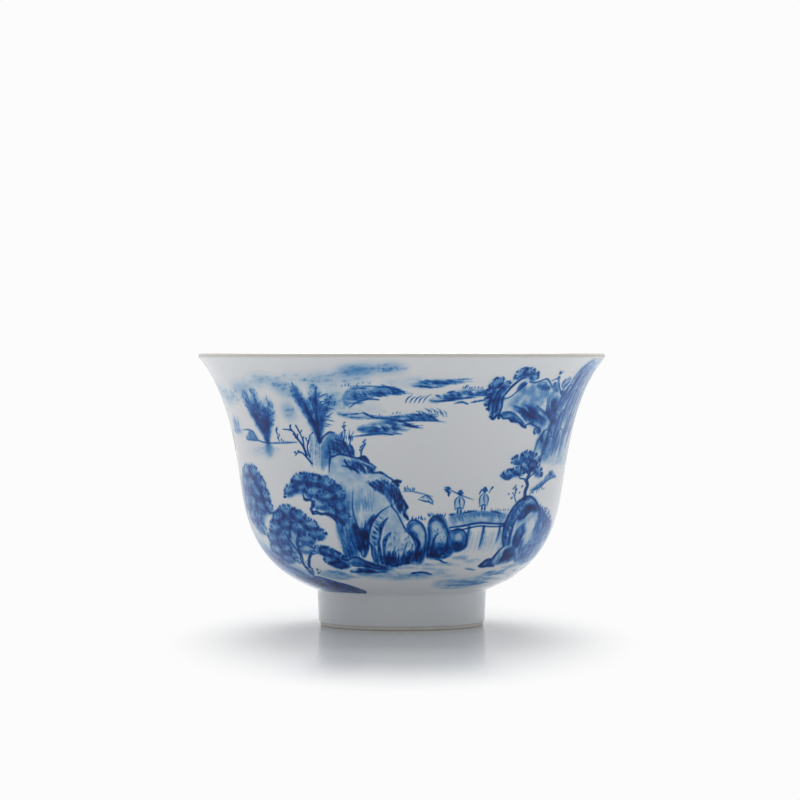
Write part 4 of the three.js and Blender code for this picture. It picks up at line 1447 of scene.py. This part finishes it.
wash([(-33, 18), (-30, 21.4), (-26, 23.6), (-21.4, 22.6), (-17.4, 19.4), (-17.6, 17.4), (-21, 16),
      (-24, 14.4), (-28, 12), (-33, 11), (-37, 11.6), (-36.4, 14.6)], 0.26, 0.8)
pine([([(-25.6, 8.4), (-26, 11.4), (-25, 13.6), (-24.6, 16), (-23.4, 18), (-22.4, 19.4)], 0.95, 0.85),
      ([(-25, 13.4), (-26.2, 16), (-27.4, 18.4)], 0.6, 0.8),
      ([(-24.8, 10.4), (-22.8, 12.8), (-21.4, 14.2)], 0.55, 0.85),
      ([(-26, 17.6), (-25.4, 19.6), (-24.6, 21)], 0.5, 0.8)],
     [(-25.2, 22.6, 2.7, 1.3, 0, 1), (-28.2, 21.2, 2.3, 1.4, 25, 0.92), (-22.4, 21.8, 2.1, 1.3, -20, 1),
      (-30.2, 19.2, 2.3, 1.5, 20, 0.82), (-26.4, 20, 2.1, 1.2, 0, 0.85),
      (-22.8, 19.4, 2.2, 1.3, 0, 0.92), (-19.8, 20.2, 2, 1.2, -20, 1), (-18.2, 18.3, 1.9, 1.1, 0, 0.95),
      (-32, 16.8, 2.5, 1.5, 0, 0.75), (-28.6, 17, 2.1, 1.3, 10, 0.75), (-21.4, 17, 2, 1.1, 0, 0.8),
      (-33, 14.2, 2.7, 1.6, 0, 0.72), (-29, 14.6, 2, 1.2, 20, 0.8), (-31, 12.2, 2.2, 1.2, 0, 0.65),
      (-22.6, 14.8, 2, 1, 10, 0.7), (-36, 12.4, 2.4, 1.6, 0, 0.55), (-26.8, 12, 1.4, 0.8, 0, 0.6)])

wash([(-18.6, 15.4), (-16, 15.4), (-13, 12.8), (-12.8, 10.8), (-15.4, 10.2), (-18, 11.6)], 0.55, 0.6,
     0.6)
pine([],
     [(-18.6, 14.8, 1.5, 1, 0, 0.85), (-16.8, 14.4, 1.8, 1.2, -10, 1.1),
      (-15, 13.2, 1.7, 1.3, -30, 1.1), (-13.6, 11.8, 1.5, 1, -20, 1.05),
      (-16.6, 12.4, 1.6, 1.2, 0, 1.05), (-15, 11.2, 1.4, 0.8, 0, 1.05)])

wash([(-24.6, 26.4), (-22, 29.4), (-18.6, 30.2), (-14.4, 29.2), (-11.8, 26.6), (-11.4, 21.4),
      (-13.4, 21.6), (-15.6, 23.8), (-17.4, 26), (-20.4, 26.2)], 0.24, 0.7)
pine([([(-18.4, 22.6), (-18.8, 23.4), (-18, 24.4), (-18.8, 25.2), (-20, 25.2), (-20.4, 26.2)], 0.5,
       0.92), ([(-11.8, 20.4), (-13.2, 22), (-15, 22.4), (-17, 22.6), (-18.6, 22.4)], 0.5, 0.88)],
     [(-20.2, 29, 2.5, 1.2, 8, 1), (-23, 27.1, 2.3, 1.1, 28, 0.95), (-17.6, 28.7, 2.3, 1.3, -5, 0.95),
      (-14.8, 28.2, 2.1, 1.3, -25, 0.95), (-12.9, 26.4, 1.7, 1.5, -50, 0.92),
      (-20.8, 27.4, 1.8, 1, 0, 0.85), (-17.8, 26.6, 2.3, 1.3, 0, 0.85), (-15, 25.8, 2.1, 1.3, 0, 0.85),
      (-12.8, 24, 1.7, 1.3, -60, 0.82), (-16.4, 24.2, 1.9, 1, 0, 0.75), (-14.2, 22.8, 1.8, 1, -30, 0.8),
      (-11.9, 21.8, 1.3, 1.4, 0, 0.75)])
stroke([(-18.6, 22.6), (-17.6, 23), (-16.6, 22.4), (-15.2, 22.6), (-13.8, 21.6), (-13.2, 20.6)], 0.4,
       0.88, (0.6, 1, 0.6, 1, 0.5), 0.13)
for g, s in ((-25.4, 25.6), (-19.8, 25.1), (-20.2, 25.3)):
    stroke([(g, s), (g + 0.4, s)], 0.42, 0.88, (1, 1), 0.12)


# %% [markdown]
# The water is bare porcelain. Low banks, a few level pulls of thin wash and here and
# there a dark ripple are enough to make it lie flat.

# %% Banks and water
def bank(outline, load, lines):
    """A low bank at the water's edge."""
    lift(outline, 0.2)
    wash(outline, load, 0.4, 0.6)
    strokes(lines, 0.42, 0.88, (0.4, 1, 0.8, 1, 0.4), 0.15, 0.2)


bank([(-13.2, 11.4), (-11.6, 13.2), (-10, 13.6), (-8.4, 12.8), (-6.4, 12.2), (-3.4, 11.4), (-2, 10.6),
      (-5, 10), (-8.6, 11), (-11, 11.4)], 0.44,
     [[(-12.6, 12.6), (-11, 13.4), (-9.6, 13.3), (-8, 12.2), (-5.6, 11.4), (-3.2, 11)],
      [(-10.6, 12.2), (-8.6, 11.4), (-6.2, 10.6), (-3.4, 10.4)]])
texture([(-9.6, 12.8), (-4, 11.6)], [(-8, 11), (-3, 10.2)], 40, 0.32, 0.8)
bank([(-13.2, 9.6), (-11, 10.6), (-8.6, 10.8), (-6, 10), (-3.4, 9.8), (-6, 9.3), (-9, 9.3), (-12, 9.2)],
     0.6,
     [[(-12.8, 9.4), (-10.6, 9.6), (-8.2, 9.9), (-5.8, 9.4)],
      [(-11.6, 11.2), (-9.6, 11.2), (-7.6, 10.8)]])
strokes([[(2.6, 9.4), (4.4, 9.5), (5.8, 9.4), (7.4, 8.8)], [(2.4, 9.2), (3.6, 9.3)]], 0.55, 0.85,
        (0.5, 0.9, 1, 0.4), 0.2, 0.2)
stroke([(7.4, 13), (8.6, 12.8), (9.6, 12.2), (10.4, 12.1)], 0.42, 0.76, (0.3, 1, 0.4), 0.2)
stroke([(16, 10.4), (17.4, 10.1), (19, 9.8)], 0.34, 0.55, (0.4, 1, 0.2), 0.25)
RIPPLES = [(-2, 10.4, 7, 0.34), (3, 12.6, 4, 0.28), (6, 11.2, 5, 0.2), (8, 9.8, 6, 0.16),
           (14, 13.4, 4, 0.2), (12, 11.6, 6, 0.16), (4, 8.8, 8, 0.22), (-6, 8.8, 7, 0.3),
           (16, 12.4, 4, 0.18), (24, 8.4, 5, 0.34), (22, 7, 7, 0.18), (27, 9.4, 6, 0.34),
           (20, 5, 8, 0.34), (24, 5.6, 5, 0.34), (15, 6.2, 7, 0.18), (12, 8.6, 6, 0.14),
           (28, 6.6, 6, 0.2), (30, 10.4, 5, 0.28), (-17, 9.2, 4, 0.26), (-14, 7.6, 5, 0.2),
           (34, 8.6, 6, 0.26), (38, 6.4, 6, 0.2), (18, 3.4, 6, 0.16), (0, 7.6, 6, 0.14)]


def ripple(g, s, wide, load):
    """A few level pulls of thin wash."""
    for _ in range(4):
        x = g + between(-0.4, 0.4) * wide / narrowing(s)
        y = s + between(-0.6, 0.6)
        half = wide * between(0.15, 0.3) / narrowing(s)
        stroke([(x - half, y), (x, y + between(-0.15, 0.25)), (x + half, y - between(0, 0.3))],
               between(0.35, 0.9), load * between(0.5, 1), (0.2, 1, 0.2), 0.4, 0.3)


for place in RIPPLES:
    ripple(*place)
stroke([(20.6, 4.4), (23, 4.7), (26, 5), (28.6, 5.2)], 0.75, 0.55, (0.3, 1, 0.7, 0.2), 0.35, 0.3)
stroke([(25.4, 8), (28, 8.3), (31, 8.2)], 0.65, 0.55, (0.3, 1, 0.3), 0.35, 0.3)
wash([(-13, 9), (-4, 9.6), (8, 8.8), (6, 7.6), (-6, 7.6)], 0.16, 1.2)
wash([(10, 6.6), (26, 7), (26, 4), (12, 3.6)], 0.16, 1.6)

# %% The near bank that runs down to the foot
NEAR_BANK = [(-36, 7), (-32, 7.6), (-28.6, 6.8), (-25, 7.6), (-22.4, 6.9), (-20, 5.8), (-17.4, 5.2),
             (-15.2, 3.8), (-12.8, 2.2), (-13.6, 0.2), (-18, -0.6), (-26, -0.6), (-33, 1)]
lift(NEAR_BANK, 0.3, 0.5)
wash(NEAR_BANK, 0.46, 0.7)
wash([(-26, 6.4), (-22, 6), (-17.6, 4.6), (-13.4, 2), (-14.4, 0.2), (-20, 0.4), (-24, 3)], 0.5, 0.6)
texture([(-32, 6.8), (-24, 7), (-16, 4.6)], [(-27, 0), (-20, 0), (-13.6, 0.6)], 110, 0.34, 0.75)
strokes([[(-33, 6.4), (-28, 4.6), (-23, 3.6), (-18, 2)], [(-30, 3.6), (-25, 2.2), (-20, 1)],
         [(-27, 5.6), (-22, 4.6), (-17, 2.8)]], 0.6, 0.6, (0.3, 1, 0.4), 0.25, 0.3)
edge([(-28, 6.6), (-24.8, 7.4), (-21.6, 6.6), (-19, 5.6), (-16.4, 4.6), (-14, 3), (-12.8, 2),
      (-13.4, 0.8)], 0.6, 0.88, (0.3, 0.7, 0.6, 1, 1))
wash([(-46, 18), (-38, 15), (-32, 12), (-27, 8.6), (-25, 6), (-32, 4.6), (-40, 6), (-46, 11)], 0.26,
     1.4)
for share in np.linspace(0, 1, 16):
    slope = [(-46 + 8 * share, 17 - 9 * share), (-38 + 4 * share, 12.6 - 6 * share),
             (-30 + 4 * share, 9 - 4 * share)]
    stroke([(g, s + between(-0.5, 0.5)) for g, s in slope], between(0.3, 0.7), between(0.15, 0.4),
           (0.3, 1, 0.4), 0.25, 0.3)
strokes([[(-24.8, 12), (-24.4, 10.2), (-24.9, 8.6)], [(-27, 9.6), (-26.4, 8.4), (-25.4, 6.6)],
         [(-30.2, 13.6), (-28.8, 13.2), (-27.8, 14.2), (-26.6, 14)],
         [(-24, 12), (-22, 13.6), (-20, 14.2)], [(-24.4, 11), (-23, 12.8)],
         [(-33, 11), (-30.6, 8.4), (-27.4, 6.4)], [(-37, 11), (-34, 8), (-30, 6)],
         [(-39, 13.6), (-36, 11), (-34.4, 8.8)]], 0.5, 0.7, (0.3, 1, 0.5), 0.2, 0.3)
for _ in range(14):
    flick(between(-27, -21), between(8.4, 10.2), between(20, 110), between(0.4, 1), 0.3,
          between(0.4, 0.8))
wash([(-24, 8.4), (-20, 9.6), (-15, 9.4), (-13, 8), (-18, 6.8)], 0.18, 0.7)


# %% [markdown]
# Round the back the same country goes on, quieter. The ridge falls to a bay with an
# islet of pines, a small boat and a far shore, and mist closes the ring.

# %% The back of the cup
HILL_CREST = [(-1, -0.6), (-0.6, -0.1), (-0.35, 0.1), (-0.1, 0.55), (0.1, 0.6), (0.4, 0.15),
              (0.7, -0.1), (1, -0.6)]


def far_hill(g, s, wide, tall, load):
    """A distant hill: dark along its crest, fading downwards into mist."""
    crest = [moved(g, s, x * wide, y * tall) for x, y in HILL_CREST]
    hill_foot = [moved(g, s, x * wide, -0.9 * tall) for x in (0.6, -0.6)]
    wash(crest + hill_foot, load, 1.1, 0.5)
    stroke(crest, 0.7, 1.1 * load, (0.3, 1, 0.7, 1, 0.3), 0.4, 0.3)
    for x in np.linspace(-0.6, 0.6, int(3 * wide)):
        top = moved(g, s, x * wide, (0.45 - abs(x)) * tall)
        stroke([top, moved(*top, between(0.1, 0.8), -between(0.4, 0.8) * tall)], 0.5,
               load * between(0.4, 1), (0.5, 1, 0.2), 0.3, 0.4)


for hill in [(56, 42, 9, 7, 0.34), (68, 38, 8, 5, 0.26), (63, 46, 7, 5, 0.2), (-66, 40, 7, 5, 0.24),
             (-76, 37, 6, 4, 0.2)]:
    far_hill(*hill)
for cloud in [(54, 34, 7, 1.6, 0.16), (70, 32, 9, 1.4, 0.14), (80, 49, 8, 1.2, 0.2),
              (90, 50.4, 6, 1, 0.26), (-88, 49, 9, 1.3, 0.22), (-72, 50.6, 7, 1, 0.2),
              (-60, 49, 6, 1.4, 0.16), (-54, 45, 5, 1.8, 0.14), (-70, 33, 8, 1.2, 0.14),
              (-52, 36, 6, 1.2, 0.12)]:
    mist(*cloud)

spit([(74, 35), (79, 36.6), (86, 36.8), (92, 35.6), (97, 34.6), (90, 34), (80, 34)], 0.32,
     [[(74, 34.6), (80, 34), (88, 34), (96, 34.6)], [(84, 36.9), (88, 36.6), (92, 35.6)]], 26,
     ([(78, 36.2), (88, 36.6)], [(80, 34.4), (93, 34.8)], 30))
feathery_tree((81, 36.6), [(79.4, 40.4, 1.8, 3, 12), (82.8, 40.2, 1.8, 2.8, -12)], 0.75)
feathery_tree((86.6, 36.6), [(85.8, 39.6, 1.4, 2.4, 8), (88, 39.2, 1.4, 2.2, -14)], 0.7)
tuft(90, 94, 35.4, 7, 0.8, 0.7)
spit([(-98, 41), (-92, 42.4), (-86, 42.2), (-82, 41), (-88, 40.4), (-94, 40.4)], 0.26,
     [[(-98, 40.8), (-92, 40.3), (-85, 40.5)]], 16,
     ([(-95, 41.8), (-87, 42)], [(-92, 40.6), (-84, 40.8)], 18))
tuft(-90, -86, 42.2, 6, 0.7, 0.7)

ISLET = [(60, 14), (61.4, 17.4), (64, 19.8), (67, 20.4), (70.4, 19.2), (73, 17), (76, 15), (78, 13),
         (72, 12), (65, 12)]
form(ISLET, 0.2)
texture([(61.6, 17.4), (66, 20), (72, 17.6)], [(62, 12.6), (67, 12.4), (74, 12.8)], 90, 0.3, 0.72)
strokes([[(63, 18.6), (62.6, 16), (63, 13)], [(66.4, 19.8), (66, 16.6), (67, 13)],
         [(69.8, 19), (70, 16), (71.4, 13.2)]], 0.8, 0.72, (0.4, 1, 0.7), 0.26, 0.3)
wash([(60.4, 14.6), (66, 14.4), (77, 13.6), (74, 12), (64, 11.8)], 0.6, 0.5, 0.6)
edge([(60, 13.6), (61.4, 17.4), (64, 19.8), (67, 20.4), (70.4, 19.2), (73, 17), (76, 15), (78, 13)],
     0.46)
stone([(55.4, 13.6), (57, 15.6), (59, 15.2), (60, 13.4), (58, 12.4)],
      [(56.6, 14.4), (57.6, 14.8), (58.2, 14)],
      [(55.8, 13.6), (59.8, 13.6), (59.4, 12.6), (56.4, 12.6)],
      [(55.4, 13.8), (57, 15.6), (59, 15.2), (60, 13.4)], 18)
bough([(66.4, 20), (66, 22), (67, 24), (66.4, 26), (67.4, 28)], 0.9, 0.88)
bough([(70, 19), (71.4, 21), (71, 23.2), (72.4, 25)], 0.7, 0.85)
pine([],
     [(64.4, 27.4, 2.3, 1.1, 8, 1), (67.6, 29, 2.4, 1.2, 0, 1), (70.4, 27.4, 2.2, 1.1, -14, 1),
      (63.4, 24.6, 1.9, 0.9, 6, 0.9), (68.6, 26.4, 1.8, 1, 0, 0.9), (73.4, 25.6, 2, 1, -16, 0.95),
      (71.4, 24, 1.6, 0.9, 0, 0.85), (75, 23, 1.5, 0.8, -20, 0.85)])
tuft(62, 65, 19.6, 6, 0.8, 0.8)

stroke([(86, 22.4), (87.6, 21.6), (90.4, 21.5), (92.6, 22.6)], 0.42, 0.85, (0.6, 1, 1, 0.4))
strokes([[(88, 22), (88.4, 23.4), (90.4, 23.5), (91, 22.2)], [(86.2, 22.3), (92.4, 22.5)]], 0.26, 0.75)
stroke([(91.8, 22.4), (93.4, 26.4)], 0.18, 0.7, (1, 0.6))
tuft(84, 85.6, 21.8, 5, 1.2, 0.7)

LEFT_SHORE = [(-58, 12), (-60, 15), (-64, 17.6), (-68, 18.4), (-73, 17), (-79, 14.6), (-85, 13),
              (-78, 11.6), (-66, 11)]
form(LEFT_SHORE, 0.26)
texture([(-80, 14), (-70, 17.6), (-61, 15.6)], [(-78, 11.8), (-69, 11.4), (-60, 11.8)], 100, 0.32, 0.66)
edge([(-85, 13), (-79, 14.6), (-73, 17), (-68, 18.4), (-64, 17.6), (-60, 15)], 0.44, 0.85)
bough([(-68, 18), (-67.4, 20.4), (-68.6, 22.4), (-67.6, 25)], 0.85, 0.85)
bough([(-73, 17), (-74, 19.6), (-73.4, 21.8)], 0.65, 0.8)
pine([],
     [(-66, 26.4, 2.4, 1.2, 8, 1), (-69.6, 25.8, 2.3, 1.2, -8, 1), (-63, 24, 2.1, 1, -16, 0.9),
      (-67.6, 23.4, 2, 1, 0, 0.85), (-72, 23.2, 2.2, 1.1, 8, 0.95), (-75.6, 21.6, 2, 1, 14, 0.9),
      (-71, 20.6, 1.7, 0.9, 0, 0.8), (-61, 20.6, 1.8, 1, -14, 0.8)])
pine([],
     [(-49, 26, 2.8, 1.6, 0, 0.55), (-46, 23, 2.8, 1.6, 0, 0.5), (-52, 22.4, 2.6, 1.5, 8, 0.55),
      (-48.4, 19, 2.4, 1.4, 0, 0.5), (-53.4, 18, 2.2, 1.3, 0, 0.55)])
wash([(-56, 22), (-52, 27), (-46, 28), (-43, 24), (-46, 18), (-53, 16)], 0.22, 1.2, 0.5)
wash([(-58, 12), (-50, 14), (-42, 14), (-38, 10), (-44, 7), (-54, 8)], 0.26, 1.2, 0.5)
texture([(-57, 13), (-42, 13.6)], [(-54, 8.4), (-42, 8)], 60, 0.34, 0.5)
for _ in range(34):
    ripple(between(46, 146), between(3, 11), between(4, 8), between(0.12, 0.3))
for line in [[(96, 9), (99, 9.3), (102, 9)], [(82, 12), (84, 12.3), (87, 12)],
             [(-94, 15), (-91, 15.3), (-88, 15)]]:
    stroke(line, 0.4, 0.7, (0.3, 1, 0.4), 0.2, 0.2)
print(f"{(cobalt > FAINTEST).mean():.0%} of the outside carries cobalt")


# %% [markdown]
# The painting now goes onto the cup. The sheet is cut into equal strips round the
# girth, each strip is bent to the outer face a hair above it, and the cells that carry
# no cobalt are deleted, so what is left is a film of pigment exactly where the brush
# went. Each point keeps its own strength of cobalt as an attribute. The film's finish
# is the same glazed white as the cup with that strength laid over its colour, which is
# why the edge of a film can't be seen.

# %% The cobalt finish
COBALT_SHADES = [(0, "#ffffff"), (0.12, "#c6dff3"), (0.3, "#72abde"), (0.5, "#2a7bc7"),
                 (0.7, "#0556aa"), (0.85, "#003b8a"), (1, "#00215a")]
cobalt_finish, tree, shader = new_finish("cobalt_under_clear_glaze",
                                         GLAZE_ROUGHNESS, GLAZE_IOR, GLAZE_GLOSS)
strength = add_node(tree, "ShaderNodeAttribute", {"attribute_name": "cobalt"})
shades = add_node(tree, "ShaderNodeValToRGB", links={"Fac": strength.outputs["Fac"]})
stops = shades.color_ramp.elements
while len(stops) < len(COBALT_SHADES):
    stops.new(0.5)
for stop, (position, shade) in zip(stops, COBALT_SHADES):
    stop.position = position
    stop.color = colour(shade)
painted = mixed(tree, 1.0, glazed_white(tree), shades.outputs["Color"], "MULTIPLY")
tree.links.new(painted, shader.inputs["Base Color"])
tree.links.new(glaze_relief(tree), shader.inputs["Normal"])

# %% Lay the film round the cup
STRIPS = 8
FILM_LIFT = 0.02
film_face = offset_face(outer_face, -FILM_LIFT)


def bent_to_cup(g, s):
    """Points of the film, in metres, for places on the sheet."""
    radius = np.interp(s, face_arc, film_face[:, 0]) * MM
    height = np.interp(s, face_arc, film_face[:, 1]) * MM
    turn = g / WAIST_RADIUS
    return np.column_stack([radius * np.sin(turn), -radius * np.cos(turn), height])


def cobalt_film(name, first, last):
    """One strip of film over the sheet's columns from first to last."""
    across = last - first
    bpy.ops.object.select_all(action="DESELECT")
    bpy.ops.mesh.primitive_grid_add(x_subdivisions=across, y_subdivisions=rows - 1, size=2)
    film = bpy.context.object
    film.name = name
    sheet = film.data
    sheet.uv_layers[0].name = "OFBake"
    flat = np.zeros(len(sheet.vertices) * 3)
    sheet.vertices.foreach_get("co", flat)
    flat = flat.reshape(-1, 3)
    column = first + np.rint((flat[:, 0] + 1) / 2 * across).astype(int)
    row = np.rint((flat[:, 1] + 1) / 2 * (rows - 1)).astype(int)
    ink = cobalt[row, column % columns]
    turn = (column + 0.5) / columns * GIRTH
    sheet.vertices.foreach_set("co", bent_to_cup(turn, (row + 0.5) * CELL).ravel())
    sheet.attributes.new("cobalt", "FLOAT", "POINT").data.foreach_set("value", ink)

    corners = np.zeros(len(sheet.polygons) * 4, int)
    sheet.polygons.foreach_get("vertices", corners)
    bare = ink[corners.reshape(-1, 4)].max(1) < FAINTEST
    bpy.ops.object.mode_set(mode="EDIT")
    bpy.ops.mesh.select_mode(type="FACE")
    bpy.ops.mesh.select_all(action="DESELECT")
    bpy.ops.object.mode_set(mode="OBJECT")
    sheet.polygons.foreach_set("select", bare)
    bpy.ops.object.mode_set(mode="EDIT")
    bpy.ops.mesh.delete(type="FACE")
    bpy.ops.object.mode_set(mode="OBJECT")
    bpy.ops.object.shade_smooth()
    sheet.materials.append(cobalt_finish)
    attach(film, "root")
    print(f"{name}: {len(sheet.polygons)} faces of {len(bare)}")


seams = np.linspace(0, columns, STRIPS + 1).astype(int)
for number, (first, last) in enumerate(zip(seams, seams[1:]), 1):
    cobalt_film(f"cobalt_painting_{number}", int(first), int(last))
